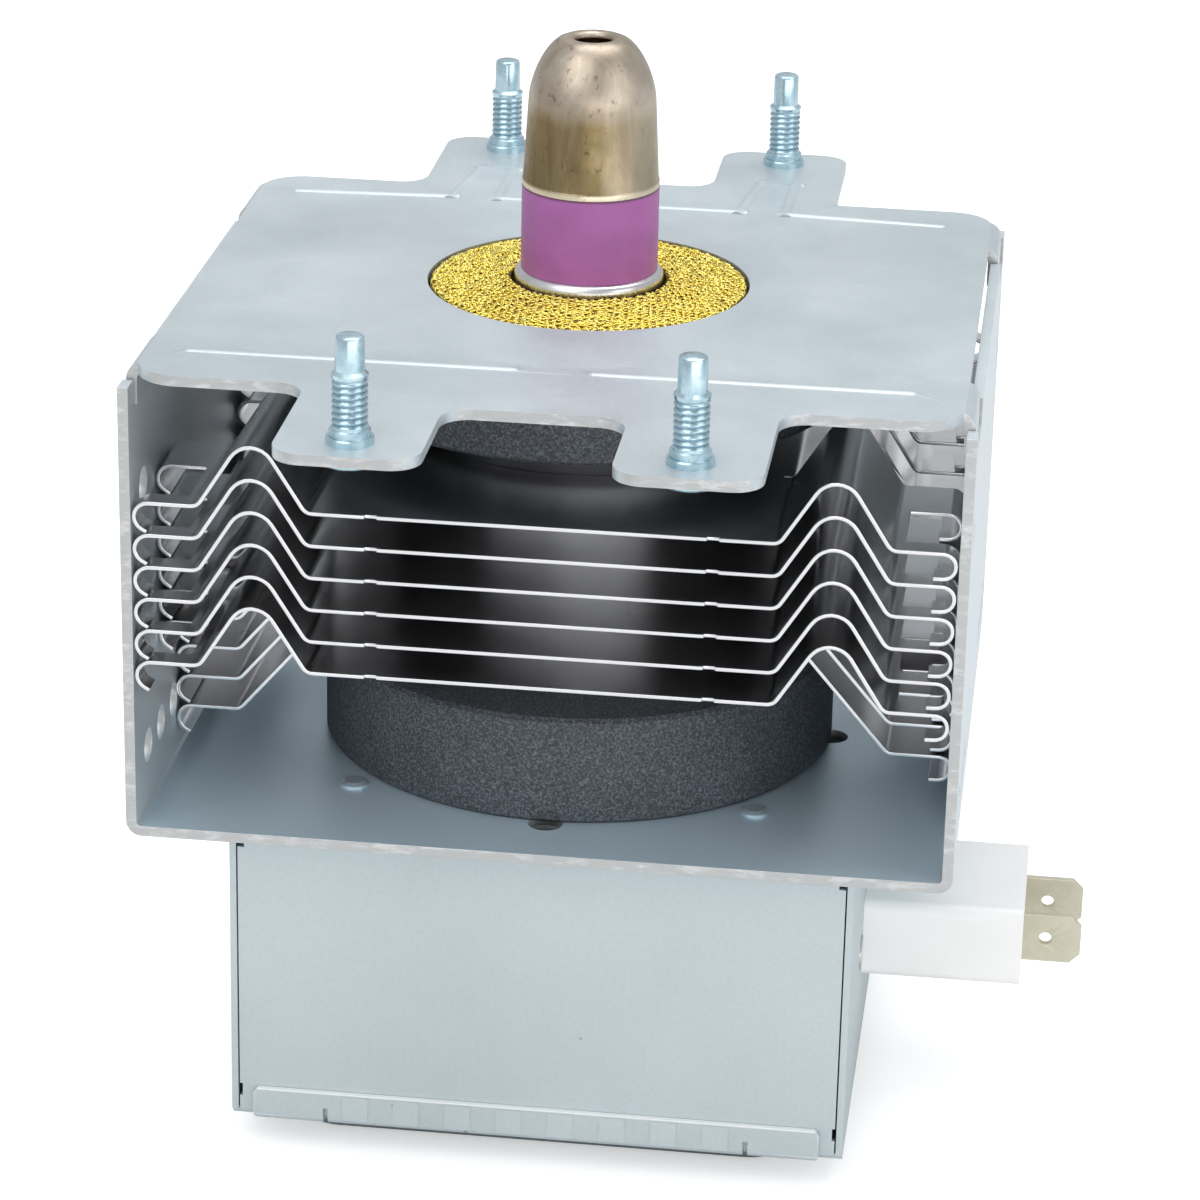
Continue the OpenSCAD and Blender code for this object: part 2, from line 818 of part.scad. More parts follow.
module magnet(t) {
    color("dimgray")
        rotate_extrude()
            polygon([
                [magnet_bore / 2, 0],
                [magnet_r - magnet_chamfer, 0],
                [magnet_r, magnet_chamfer],
                [magnet_r, t - magnet_chamfer],
                [magnet_r - magnet_chamfer, t],
                [magnet_bore / 2, t]
            ]);
}

module lower_magnet() {
    translate([0, 0, floor_z])
        magnet(lower_magnet_t);
}

module upper_magnet() {
    translate([0, 0, upper_magnet_z])
        magnet(upper_magnet_t);
}

// Cooling fins: a flat middle round the anode, and wings split into three strips. The front and
// rear strips wave up, the middle strip slopes down past the magnet, and all end in hooks.

function outer_flat(inner_x, hook_r) = hook_x - inner_x - hook_r - fin_t / 2;

// Hook at the end of a strip, as moves that follow the outer flat: open on the left, tight on the right
function hook_moves(inner_x, right) =
    let (
        hook_r = right ? 1.3 : 1.45,
        turn = right ? -180 : -150,
        tail = right ? 0.9 : 0.6
    )
    [[outer_flat(inner_x, hook_r), turn, hook_r], [tail, 0, 0]];

function wave_moves(right) =
    let (
        bends = crest_r + foot_r,
        run = slope_length(wave_run, wave_rise, bends),
        slope = slope_angle(wave_run, wave_rise, bends)
    )
    concat(
        [[fin_flat, slope, foot_r], [run, -2 * slope, crest_r], [run, slope, foot_r]],
        hook_moves(fin_flat + 2 * wave_run, right)
    );

function drop_moves(right) =
    let (
        bends = 2 * foot_r,
        run = slope_length(drop_run, drop_depth, bends),
        slope = slope_angle(drop_run, drop_depth, bends)
    )
    concat(
        [[fin_flat, -slope, foot_r], [run, slope, foot_r]],
        hook_moves(fin_flat + drop_run, right)
    );

module wave_section() {
    bent_sheet(wave_moves(true), [0, 0], 0, fin_t);
    mirror([1, 0])
        bent_sheet(wave_moves(false), [0, 0], 0, fin_t);
}

module drop_section() {
    bent_sheet(drop_moves(true), [0, 0], 0, fin_t);
    mirror([1, 0])
        bent_sheet(drop_moves(false), [0, 0], 0, fin_t);
}

module cooling_fin(i) {
    strip_lap = strip_slit / 4;
    side_strip = fin_half_d - mid_strip / 2 + strip_lap;
    color("gainsboro")
        translate([0, 0, fin_top_z - (i - 1) * fin_pitch])
            difference() {
                union() {
                    both_ends()
                        translate([0, fin_half_d - side_strip / 2, 0])
                            along_y(side_strip)
                                wave_section();
                    along_y(mid_strip + 2 * strip_lap)
                        drop_section();
                    translate([0, 0, -fin_t / 2 - fin_collar_h])
                        cylinder(h = fin_collar_h + fin_t / 2, r = collar_bore_r + fin_t);
                }
                fin_cuts();
            }
}

module fin_cuts() {
    cut_h = wave_rise + drop_depth + 10;
    slit_x = fin_flat - strip_slit;
    notch_x = fin_flat + 2 * wave_run + foot_r / 2;
    nick_x = fin_flat - foot_r - nick_l - 4;
    translate([0, 0, -fin_collar_h - fin_t])
        cylinder(h = fin_collar_h + 2 * fin_t, r = collar_bore_r);
    quarters() {
        translate([slit_x, mid_strip / 2 - strip_slit / 2, wave_rise + 2 - cut_h])
            cube([yoke_w / 2 - slit_x, strip_slit, cut_h]);
        translate([notch_x, fin_half_d - hook_tab - hook_notch, -fin_pitch - 1])
            cube([yoke_w / 2 - notch_x, hook_notch, fin_pitch + 2]);
        translate([nick_x, fin_half_d - nick_depth, -fin_t])
            cube([nick_l, nick_depth + 1, 2 * fin_t]);
    }
}

// Anode block

module anode_cylinder() {
    color("peru")
        translate([0, 0, anode_z])
            ring(anode_r, anode_bore_r, anode_h);
}

module anode_vanes() {
    color("peru")
        translate([0, 0, anode_mid_z])
            for (i = [0:vane_count - 1])
                rotate(i * 360 / vane_count)
                    vane(i % 2);
}

// One vane: each strap ring rests in the notches of every second vane and passes the others freely
module vane(parity) {
    difference() {
        intersection() {
            translate([0, -vane_t / 2, -vane_h / 2])
                cube([anode_r, vane_t, vane_h]);
            translate([0, 0, -vane_h])
                cylinder(h = 2 * vane_h, r = anode_bore_r);
        }
        translate([0, 0, -vane_h])
            cylinder(h = 2 * vane_h, r = vane_tip_r);
        for (k = [0, 1])
            for (up = [0, 1])
                mirror([0, 0, up])
                    strap_notch(k, k == parity ? 0 : strap_gap);
    }
}

function strap_inner_r(k) = strap_r + k * (strap_t + 3 * strap_gap);

module strap_notch(k, floor_gap) {
    depth = strap_h + floor_gap;
    translate([0, 0, vane_h / 2 - depth])
        ring(strap_inner_r(k) + strap_t + strap_gap, strap_inner_r(k) - strap_gap, depth + 1);
}

module strap_rings() {
    color("peru")
        translate([0, 0, anode_mid_z])
            for (k = [0, 1])
                for (up = [0, 1])
                    mirror([0, 0, up])
                        translate([0, 0, vane_h / 2 - strap_h])
                            ring(strap_inner_r(k) + strap_t, strap_inner_r(k), strap_h);
}

// Dished iron disc on the end of the anode cylinder, rim at the origin and dish pointing down
module pole_piece() {
    rim_r = anode_bore_r - 1;
    rotate_extrude()
        polygon([
            [pole_hole_r, -pole_dish],
            [pole_flat_r, -pole_dish],
            [rim_r, 0],
            [anode_r, 0],
            [anode_r, pole_t],
            [rim_r - pole_t / 2, pole_t],
            [pole_flat_r - pole_t / 2, pole_t - pole_dish],
            [pole_hole_r, pole_t - pole_dish]
        ]);
}

module upper_pole_piece() {
    color("slategray")
        difference() {
            translate([0, 0, anode_top_z])
                pole_piece();
            translate([lead_x, 0, anode_mid_z])
                cylinder(h = anode_h, r = lead_r + 0.5);
        }
}

module lower_pole_piece() {
    color("slategray")
        translate([0, 0, anode_z])
            mirror([0, 0, 1])
                pole_piece();
}

// Seal cups

module upper_seal_cup() {
    rim_z = upper_seal_z + seal_t / 2;
    step_z = plate_z - 1.2;
    lip_z = ceramic_z - seal_t / 2;
    bends = 2 * seal_bend_r;
    color("silver")
        rotate_extrude()
            bent_sheet(
                [
                    [anode_r - seal_mid_r - seal_bend_r, -90, seal_bend_r],
                    [step_z - rim_z - bends, 90, seal_bend_r],
                    [seal_mid_r - collar_mid_r - bends, -90, seal_bend_r],
                    [lip_z - step_z - bends, 90, seal_bend_r],
                    [collar_mid_r - seal_bend_r - ceramic_bore_r, 0, 0]
                ],
                [anode_r, rim_z], 180, seal_t
            );
}

module lower_seal_cup() {
    rim_z = lower_seal_z + seal_t / 2;
    lip_z = seal_foot_z + seal_t / 2;
    color("silver")
        rotate_extrude()
            bent_sheet(
                [
                    [anode_r - seal_mid_r - seal_bend_r, 90, seal_bend_r],
                    [rim_z - lip_z - 2 * seal_bend_r, -90, seal_bend_r],
                    [1.2, 0, 0]
                ],
                [anode_r, rim_z], 180, seal_t
            );
}

// Antenna

module antenna_ceramic() {
    color("mediumorchid")
        translate([0, 0, ceramic_z])
            ring(ceramic_r, ceramic_bore_r, ceramic_h);
}

// Crown of the cap: a cone from the neck, rounded at its top towards the hole
function crown(wall) =
    let (
        steps = 8,
        hole_r = cap_hole_d / 2,
        rim_r = hole_r + 0.25,
        round_r = cap_shoulder_d / 2 - rim_r - wall
    )
    concat(
        [[cap_neck_d / 2 - wall, cap_h - crown_h]],
        [for (i = [0:steps])
            let (a = 90 * i / steps)
            [rim_r + round_r * cos(a), cap_h - cap_round_h + (cap_round_h - wall) * sin(a)]],
        [[hole_r, cap_h - wall]]
    );

module antenna_cap() {
    foot_r = cap_d / 2;
    inner = crown(cap_wall);
    last = len(inner) - 1;
    lip = 0.1;
    color("tan")
        translate([0, 0, cap_z])
            rotate_extrude()
                polygon(concat(
                    [[foot_r - cap_wall, 0], [foot_r + lip, 0], [foot_r + lip, cap_lip_h], [foot_r, cap_lip_h + lip]],
                    crown(0),
                    [for (i = [0:last]) inner[last - i]]
                ));
}

// Copper exhaust tube on the ceramic, closed by a pinch under the cap
module exhaust_tube() {
    foot_t = 0.5;
    pinch_z = exhaust_h * 0.55;
    color("peru")
        translate([0, 0, cap_z])
            difference() {
                union() {
                    cylinder(h = foot_t, r = ceramic_bore_r + 0.7);
                    cylinder(h = exhaust_h, r = exhaust_r);
                }
                translate([0, 0, -1])
                    cylinder(h = pinch_z, r = lead_r + 0.1);
                both_ends()
                    pinch_cut(pinch_z);
            }
}

// Sloping cut that leaves a blade half a wall thick at the tube's end
module pinch_cut(pinch_z) {
    blade = 0.35;
    slope = atan2(exhaust_r - blade, exhaust_h - pinch_z);
    translate([-exhaust_r - 1, exhaust_r, pinch_z])
        rotate([slope, 0, 0])
            cube([2 * exhaust_r + 2, 2 * exhaust_r, 2 * exhaust_h]);
}

module antenna_lead() {
    color("peru")
        lead_wire([
            [lead_x, 0, anode_mid_z + vane_h / 2],
            [lead_x, 0, upper_magnet_z],
            [0, 0, plate_z],
            [0, 0, cap_z + exhaust_h * 0.55 - 2]
        ], lead_r);
}

// Cathode

// Helix of wire about Z, as rings of points joined into a tube
module helix(r, wire_r, h, turns) {
    sides = 6;
    steps = 10 * turns;
    slope = h / (2 * PI * r * turns);
    points = [for (i = [0:steps])
        let (
            a = 360 * turns * i / steps,
            out = [cos(a), sin(a), 0],
            up = [sin(a) * slope, -cos(a) * slope, 1] / sqrt(1 + slope * slope),
            centre = r * out + [0, 0, h * i / steps]
        )
        for (j = [0:sides - 1])
            centre + wire_r * (cos(360 * j / sides) * out + sin(360 * j / sides) * up)];
    walls = [for (i = [0:steps - 1])
        for (j = [0:sides - 1])
            let (k = (j + 1) % sides)
            [i * sides + j, (i + 1) * sides + j, (i + 1) * sides + k, i * sides + k]];
    foot = [for (j = [0:sides - 1]) j];
    head = [for (j = [0:sides - 1]) steps * sides + sides - 1 - j];
    polyhedron(points, concat(walls, [foot, head]));
}

module cathode_filament() {
    color("darkgray")
        translate([0, 0, filament_z + filament_wire_r])
            helix(filament_r, filament_wire_r, filament_h - 2 * filament_wire_r, filament_turns);
}

module upper_end_hat() {
    color("gray")
        translate([0, 0, hat_top_z])
            cylinder(h = hat_t, r = hat_r);
}

module lower_end_hat() {
    color("gray")
        translate([0, 0, filament_z - hat_t])
            ring(hat_r, cathode_lead_r + 0.4, hat_t);
}

module centre_lead() {
    color("gray")
        lead_wire([
            [0, -tab_pitch / 2, lead_foot_z],
            [0, -tab_pitch / 2, lead_spread_z],
            [0, 0, lead_bend_z],
            [0, 0, hat_top_z]
        ], cathode_lead_r);
}

module side_lead() {
    lead_y = hat_r - cathode_lead_r - 0.6;
    color("gray")
        lead_wire([
            [0, tab_pitch / 2, lead_foot_z],
            [0, tab_pitch / 2, lead_spread_z],
            [0, lead_y, lead_bend_z],
            [0, lead_y, filament_z - hat_t]
        ], cathode_lead_r);
}

module stem_ceramic() {
    color("white")
        translate([0, 0, stem_z])
            difference() {
                cylinder(h = stem_h, r = stem_r);
                both_ends()
                    translate([0, tab_pitch / 2, -1])
                        cylinder(h = stem_h + 2, r = cathode_lead_r + tab_gap);
            }
}

// Filter box

module filter_box() {
    color("lightsteelblue")
        difference() {
            union() {
                translate([0, 0, yoke_z])
                    mirror([0, 0, 1])
                        along_y(box_d)
                            bent_u(box_w, box_h, box_t, box_bend_r);
                box_end_walls();
            }
            box_seam_cuts();
            box_top_holes();
            box_connector_holes();
        }
}

module box_end_walls() {
    w = box_w - 2 * (box_t + seam);
    both_ends()
        translate([-w / 2, box_d / 2 - box_t, box_z])
            cube([w, box_t, box_h - box_t / 2]);
}

// Reliefs at the top of the seams, and openings at their feet
module box_seam_cuts() {
    seam_x = box_w / 2 - box_t - seam;
    quarters() {
        translate([seam_x - seam_relief, box_d / 2 - box_t - 1, yoke_z - box_bend_r - seam_relief])
            cube([seam_relief + seam, box_t + 2, seam_relief]);
        translate([seam_x + seam - seam_foot_w, box_d / 2 - box_t - 1, box_z + seam_foot_z])
            cube([seam_foot_w, box_t + 2, seam_foot]);
    }
}

module box_top_holes() {
    translate([0, 0, yoke_z - box_t - 1]) {
        cylinder(h = box_t + 2, r = yoke_bore_r);
        magnet_edge_holes(box_t + 2);
        rivet_places()
            cylinder(h = box_t + 2, r = rivet_hole_r);
    }
}

// Opening for the capacitor's spigot and holes for its eyelets, in the right wall
module box_connector_holes() {
    length = box_t + cap_plate_t + 2;
    opening_w = spigot_w + 2 * spigot_gap;
    opening_h = spigot_h + 2 * spigot_gap;
    translate([plate_x - length + 1, 0, 0]) {
        translate([0, -opening_w / 2, tab_z - opening_h / 2])
            cube([length, opening_w, opening_h]);
        both_ends()
            translate([0, eyelet_span / 2, connector_z])
                rotate([0, 90, 0])
                    cylinder(h = length, r = eyelet_r);
    }
}

// Rivets through the yoke's floor and the box's top
module box_rivets() {
    grip = sheet_t + box_t;
    head_r = rivet_head_d / 2;
    crown_r = head_r * 0.7;
    color("lightsteelblue")
        rivet_places()
            translate([0, 0, yoke_z - box_t])
                rotate_extrude()
                    polygon([
                        [0, -rivet_head_h],
                        [crown_r, -rivet_head_h],
                        [head_r, -rivet_head_h / 2],
                        [head_r, 0],
                        [rivet_hole_r, 0],
                        [rivet_hole_r, grip],
                        [head_r, grip],
                        [head_r, grip + rivet_head_h / 2],
                        [crown_r, grip + rivet_head_h],
                        [0, grip + rivet_head_h]
                    ]);
}

// Lid with a pressed pan, and strips bent up over the box at the front and the back

module filter_lid() {
    pan_w = box_w - 2 * pan_side_inset;
    pan_d = box_d - 2 * pan_inset;
    color("lightsteelblue")
        difference() {
            union() {
                lid_rim(pan_w, pan_d);
                lid_pan(pan_w, pan_d);
                both_ends() {
                    lid_strip();
                    lid_ribs();
                }
            }
            lid_slits();
        }
}

module lid_rim(pan_w, pan_d) {
    translate([0, 0, pan_depth])
        linear_extrude(lid_t)
            difference() {
                square([box_w, box_d - 2 * lid_t], center = true);
                rounded_rect(pan_w, pan_d, pan_corner_r);
            }
}

// Strip with rounded corners, folded up sharply
module lid_strip() {
    intersection() {
        translate([0, box_d / 2, 0])
            along_x(lid_strip_w)
                lid_strip_section();
        translate([0, box_d / 2, pan_depth + lid_strip_h / 2])
            along_y(8 * lid_t)
                rounded_rect(lid_strip_w, lid_strip_h, lid_strip_r);
    }
}

// Section of a strip: out from under the box's wall, then up beside it
module lid_strip_section() {
    wall = lid_gap + lid_t / 2;
    fold_r = lid_t / 2 + 0.02;
    start = -3 * lid_t;
    bent_sheet(
        [[wall - fold_r - start, 90, fold_r], [lid_strip_h - lid_t / 2 - fold_r, 0, 0]],
        [start, pan_depth + lid_t / 2], 0, lid_t
    );
}

// Shallow ribs between a strip's two end tabs
module lid_ribs() {
    count = 8;
    rib_w = lid_rib_pitch / 2;
    face_y = box_d / 2 + lid_gap + lid_t;
    for (i = [0:count - 1])
        translate([(i - (count - 1) / 2) * lid_rib_pitch - rib_w / 2, face_y - lid_t / 2, pan_depth + lid_t])
            cube([rib_w, lid_t / 2 + lid_rib_h, lid_strip_h - 1.5 * lid_t]);
}

// Section of the pan's wall, from the rim's inner edge down to the pan's floor
module pan_wall_section() {
    bent_sheet(
        [
            [pan_lap, 90, lid_bend_r],
            [pan_depth - 2 * lid_bend_r, -90, lid_bend_r],
            [pan_lap, 0, 0]
        ],
        [pan_lap, pan_depth + lid_t / 2], 180, lid_t
    );
}

module lid_pan(pan_w, pan_d) {
    inset = 2 * lid_bend_r + pan_lap / 2;
    straight_w = pan_w - 2 * pan_corner_r;
    straight_d = pan_d - 2 * pan_corner_r;
    both_ends()
        translate([0, pan_d / 2, 0])
            along_x(straight_w)
                pan_wall_section();
    both_sides()
        translate([pan_w / 2, 0, 0])
            rotate(-90)
                along_x(straight_d)
                    pan_wall_section();
    quarters()
        translate([straight_w / 2, straight_d / 2, 0])
            rotate_extrude(angle = 90)
                translate([pan_corner_r, 0])
                    pan_wall_section();
    linear_extrude(lid_t)
        rounded_rect(pan_w - 2 * inset, pan_d - 2 * inset, pan_corner_r - inset);
}

// Slits that part the end tabs from the front and back strips
module lid_slits() {
    slit_h = pan_depth + lid_strip_h / 2;
    quarters()
        translate([lid_strip_w / 2 - lid_tab_w, box_d / 2 - lid_t, pan_depth - 1])
            cube([lid_slit, 2 * lid_t + 1, slit_h - pan_depth + 1]);
}

// Connector and chokes

module choke_windings() {
    lead_turn = 16;
    color("chocolate")
        both_ends()
            translate([0, tab_pitch / 2, tab_z]) {
                translate([winding_x, 0, 0])
                    rotate([0, 90, 0])
                        rotate_extrude() {
                            for (i = [0:choke_turns - 1])
                                translate([winding_r, (i + 0.5) * wire_d])
                                    circle(d = wire_d, $fn = 24);
                            translate([winding_r - wire_d / 4, wire_d / 2])
                                square([wire_d / 2, winding_l - wire_d]);
                        }
                translate([-wire_d, 0, winding_r])
                    rotate([0, 90, 0])
                        cylinder(h = winding_x + wire_d + wire_d / 2, d = wire_d, $fn = 24);
                rotate([-lead_turn, 0, 0])
                    translate([winding_end_x - wire_d / 2, 0, winding_r])
                        rotate([0, 90, 0])
                            cylinder(h = 4, d = wire_d, $fn = 24);
            }
}

module choke_cores() {
    color("dimgray")
        both_ends()
            translate([winding_x - 1.5, tab_pitch / 2, tab_z])
                rotate([0, 90, 0])
                    cylinder(h = winding_l + 3, r = core_r);
}

module capacitor_plate() {
    color("silver")
        difference() {
            translate([plate_x - box_t - cap_plate_t, 0, connector_z])
                along_x_from(cap_plate_t)
                    rounded_rect(cap_plate_w, cap_plate_h, 2);
            box_connector_holes();
        }
}

// Gives a section in the Y and Z axes a thickness along +X
module along_x_from(t) {
    rotate([90, 0, 90])
        linear_extrude(t)
            children();
}

module plate_eyelets() {
    grip = box_t + cap_plate_t;
    color("silver")
        both_ends()
            translate([plate_x - grip, eyelet_span / 2, connector_z])
                rotate([0, 90, 0]) {
                    cylinder(h = grip, r = eyelet_r);
                    translate([0, 0, -eyelet_head_t])
                        cylinder(h = eyelet_head_t, r = eyelet_head_r);
                    translate([0, 0, grip])
                        cylinder(h = eyelet_head_t, r = eyelet_head_r);
                }
}

module connector_housing() {
    slot_h = tab_h + 2 * tab_gap;
    slot_t = tab_t + 2 * tab_gap;
    color("whitesmoke")
        difference() {
            union() {
                translate([plate_x, 0, connector_z])
                    along_x_from(block_reach)
                        rounded_rect(block_w, block_h, block_edge_r);
                translate([spigot_x, -spigot_w / 2, tab_z - spigot_h / 2])
                    cube([plate_x - spigot_x + 1, spigot_w, spigot_h]);
            }
            both_ends()
                translate([spigot_x - 1, tab_pitch / 2 - slot_t / 2, tab_z - slot_h / 2])
                    cube([block_end_x - spigot_x + 2, slot_t, slot_h]);
        }
}

// Tabs that run through the housing, with a lug inside the box for the choke's lead
module terminal_tabs() {
    tip_x = block_end_x + tab_reach;
    half_h = tab_h / 2;
    color("khaki")
        both_ends()
            translate([0, tab_pitch / 2, tab_z])
                difference() {
                    along_y(tab_t)
                        polygon([
                            [lug_x, -half_h],
                            [tip_x - tab_corner, -half_h],
                            [tip_x, tab_corner - half_h],
                            [tip_x, half_h - tab_corner],
                            [tip_x - tab_corner, half_h],
                            [spigot_x - 1, half_h],
                            [spigot_x - 1, lug_rise],
                            [lug_x, lug_rise]
                        ]);
                    translate([block_end_x + tab_hole_x, 0, 0])
                        rotate([90, 0, 0])
                            cylinder(h = tab_t + 2, d = tab_hole_d, center = true);
                }
}

yoke_frame();
top_plate();
mounting_studs();
rf_gasket();
upper_magnet();
lower_magnet();
cooling_fin(1);  // cooling_fin_1
cooling_fin(2);  // cooling_fin_2
cooling_fin(3);  // cooling_fin_3
cooling_fin(4);  // cooling_fin_4
cooling_fin(5);  // cooling_fin_5
cooling_fin(6);  // cooling_fin_6
anode_cylinder();
anode_vanes();
strap_rings();
upper_pole_piece();
lower_pole_piece();
upper_seal_cup();
lower_seal_cup();
antenna_ceramic();
antenna_cap();
exhaust_tube();
antenna_lead();
cathode_filament();
upper_end_hat();
lower_end_hat();
centre_lead();
side_lead();
stem_ceramic();
filter_box();
filter_lid();
box_rivets();
choke_windings();
choke_cores();
capacitor_plate();
plate_eyelets();
connector_housing();
terminal_tabs();
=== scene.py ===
import json
import math
import random
import bmesh
import bpy
from mathutils import Matrix
from mathutils import Vector


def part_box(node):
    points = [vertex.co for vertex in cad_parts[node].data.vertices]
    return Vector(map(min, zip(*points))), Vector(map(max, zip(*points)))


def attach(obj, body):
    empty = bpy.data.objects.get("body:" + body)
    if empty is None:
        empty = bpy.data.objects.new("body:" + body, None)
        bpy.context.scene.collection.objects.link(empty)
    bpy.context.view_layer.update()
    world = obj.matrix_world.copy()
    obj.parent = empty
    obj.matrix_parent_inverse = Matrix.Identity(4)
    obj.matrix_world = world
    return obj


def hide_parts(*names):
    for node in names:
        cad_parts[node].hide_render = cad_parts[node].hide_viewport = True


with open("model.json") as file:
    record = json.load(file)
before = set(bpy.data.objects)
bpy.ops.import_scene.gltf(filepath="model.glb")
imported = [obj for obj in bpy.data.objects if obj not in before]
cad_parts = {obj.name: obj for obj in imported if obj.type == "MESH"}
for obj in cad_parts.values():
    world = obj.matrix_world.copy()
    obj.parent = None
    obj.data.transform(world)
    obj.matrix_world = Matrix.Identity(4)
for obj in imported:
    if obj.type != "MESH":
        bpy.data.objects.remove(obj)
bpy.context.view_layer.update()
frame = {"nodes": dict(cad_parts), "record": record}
nodes = frame["nodes"]
MM = 0.001


# Materials, with heights and places in millimetres

# Range of a noise over which a tone runs from dark to pale
NOISE_RANGE = (0.3, 0.7)


def new_material(name):
    """A new material, with its node tree and its shader."""
    material = bpy.data.materials.new(name)
    material.use_nodes = True
    tree = material.node_tree
    shader = tree.nodes["Principled BSDF"]
    return material, tree, shader


def object_point(tree, scale=(1, 1, 1)):
    """Point of the surface in millimetres, stretched by scale."""
    source = tree.nodes.new("ShaderNodeTexCoord")
    mapping = tree.nodes.new("ShaderNodeMapping")
    mapping.inputs["Scale"].default_value = [1000 * s for s in scale]
    tree.links.new(source.outputs["Object"], mapping.inputs["Vector"])
    return mapping.outputs["Vector"]


def noise(tree, point, scale, detail=3.0, rough=0.55, distortion=0.0):
    """Smooth noise from about 0.3 to 0.7, with scale in cycles per millimetre."""
    node = tree.nodes.new("ShaderNodeTexNoise")
    node.inputs["Scale"].default_value = scale
    node.inputs["Detail"].default_value = detail
    node.inputs["Roughness"].default_value = rough
    node.inputs["Distortion"].default_value = distortion
    tree.links.new(point, node.inputs["Vector"])
    return node.outputs["Fac"]


def cells(tree, point, scale):
    """Distance to the nearest of many scattered points."""
    node = tree.nodes.new("ShaderNodeTexVoronoi")
    node.inputs["Scale"].default_value = scale
    tree.links.new(point, node.inputs["Vector"])
    return node.outputs["Distance"]


def ramp(tree, value, stops):
    """Colour ramp with stops of (place, colour)."""
    node = tree.nodes.new("ShaderNodeValToRGB")
    while len(node.color_ramp.elements) < len(stops):
        node.color_ramp.elements.new(0.5)
    for element, (place, colour) in zip(node.color_ramp.elements, stops):
        element.position = place
        element.color = (*colour, 1)
    tree.links.new(value, node.inputs["Fac"])
    return node.outputs["Color"]


def two_tone(tree, value, dark, pale):
    """Colour that runs from dark to pale over the range of a noise."""
    low, high = NOISE_RANGE
    return ramp(tree, value, [(low, dark), (high, pale)])


def span(tree, value, low, high, out_low, out_high):
    """Maps a value from low to high onto out_low to out_high, held at both ends."""
    node = tree.nodes.new("ShaderNodeMapRange")
    node.inputs["From Min"].default_value = low
    node.inputs["From Max"].default_value = high
    node.inputs["To Min"].default_value = out_low
    node.inputs["To Max"].default_value = out_high
    tree.links.new(value, node.inputs["Value"])
    return node.outputs["Result"]


def blend(tree, factor, first, second, mode="MIX"):
    """Mixes two colours, where each input is a number, a colour or a socket."""
    node = tree.nodes.new("ShaderNodeMix")
    node.data_type = "RGBA"
    node.blend_type = mode
    wanted = ((node.inputs[0], factor), (node.inputs[6], first), (node.inputs[7], second))
    for socket, value in wanted:
        if isinstance(value, (int, float)):
            socket.default_value = value
        elif isinstance(value, tuple):
            socket.default_value = (*value, 1)
        else:
            tree.links.new(value, socket)
    return node.outputs[2]


def math_node(tree, operation, first, second):
    """Result of an operation on two inputs, each a number or a socket."""
    node = tree.nodes.new("ShaderNodeMath")
    node.operation = operation
    for socket, value in ((node.inputs[0], first), (node.inputs[1], second)):
        if isinstance(value, (int, float)):
            socket.default_value = value
        else:
            tree.links.new(value, socket)
    return node.outputs[0]


def bump(tree, shader, rise, distance, strength):
    """Fine relief: a rise of 1 lifts the surface by distance, in millimetres."""
    node = tree.nodes.new("ShaderNodeBump")
    node.inputs["Distance"].default_value = distance * MM
    node.inputs["Strength"].default_value = strength
    tree.links.new(rise, node.inputs["Height"])
    tree.links.new(node.outputs["Normal"], shader.inputs["Normal"])


def coordinate(tree, axis):
    """Place of the surface along an axis, in millimetres."""
    split = tree.nodes.new("ShaderNodeSeparateXYZ")
    tree.links.new(object_point(tree), split.inputs[0])
    return split.outputs[axis]


def height(tree):
    """Height of the surface above the floor, in millimetres."""
    return coordinate(tree, "Z")


def offset(tree, axis, middle):
    """Squared distance along an axis from the nearer of two places, at middle and at minus middle."""
    across = math_node(tree, "ABSOLUTE", coordinate(tree, axis), 0)
    away = math_node(tree, "SUBTRACT", across, middle)
    return math_node(tree, "MULTIPLY", away, away)


def facing(tree, axis):
    """How far the surface faces along an axis, from 0 to 1."""
    source = tree.nodes.new("ShaderNodeTexCoord")
    split = tree.nodes.new("ShaderNodeSeparateXYZ")
    tree.links.new(source.outputs["Normal"], split.inputs[0])
    return math_node(tree, "ABSOLUTE", split.outputs[axis], 0)


def tint(material, factor_of, colour, mode):
    """Blends a colour over a finished material, by the factor that factor_of makes in its tree."""
    tree = material.node_tree
    base = tree.nodes["Principled BSDF"].inputs["Base Color"]
    under = base.links[0].from_socket
    tree.links.new(blend(tree, factor_of(tree), under, colour, mode), base)


# Sheet metal: the flecks' tone, and the scratches' stretch and the range of noise that shows them
FLECK = (0.965, 1.03)
SCRATCH_STRETCH = (0.25, 1.6, 1.6)
SCRATCH_RANGE = (0.62, 0.75)


def sheet_metal(name, dark, pale, metallic, rough, cloud=0.05, grain=(1, 1, 1), relief=0.5, scuff=0.1):
    """Plated or rolled sheet: cloudy tone, fine grain along one direction and thin scratches."""
    material, tree, shader = new_material(name)
    clouds = noise(tree, object_point(tree), cloud, detail=5.0, rough=0.6)
    fine = noise(tree, object_point(tree, grain), 2.2, rough=0.6)
    scratch = noise(tree, object_point(tree, SCRATCH_STRETCH), 1.4, detail=2.0, rough=0.5, distortion=0.6)
    tone = two_tone(tree, clouds, dark, pale)
    fleck = span(tree, fine, *NOISE_RANGE, *FLECK)
    tree.links.new(blend(tree, 1.0, tone, fleck, "MULTIPLY"), shader.inputs["Base Color"])
    even = span(tree, clouds, *NOISE_RANGE, *rough)
    scuffed = span(tree, scratch, *SCRATCH_RANGE, 0.0, scuff)
    tree.links.new(math_node(tree, "ADD", even, scuffed), shader.inputs["Roughness"])
    shader.inputs["Metallic"].default_value = metallic
    bump(tree, shader, fine, distance=0.01, strength=relief)
    return material


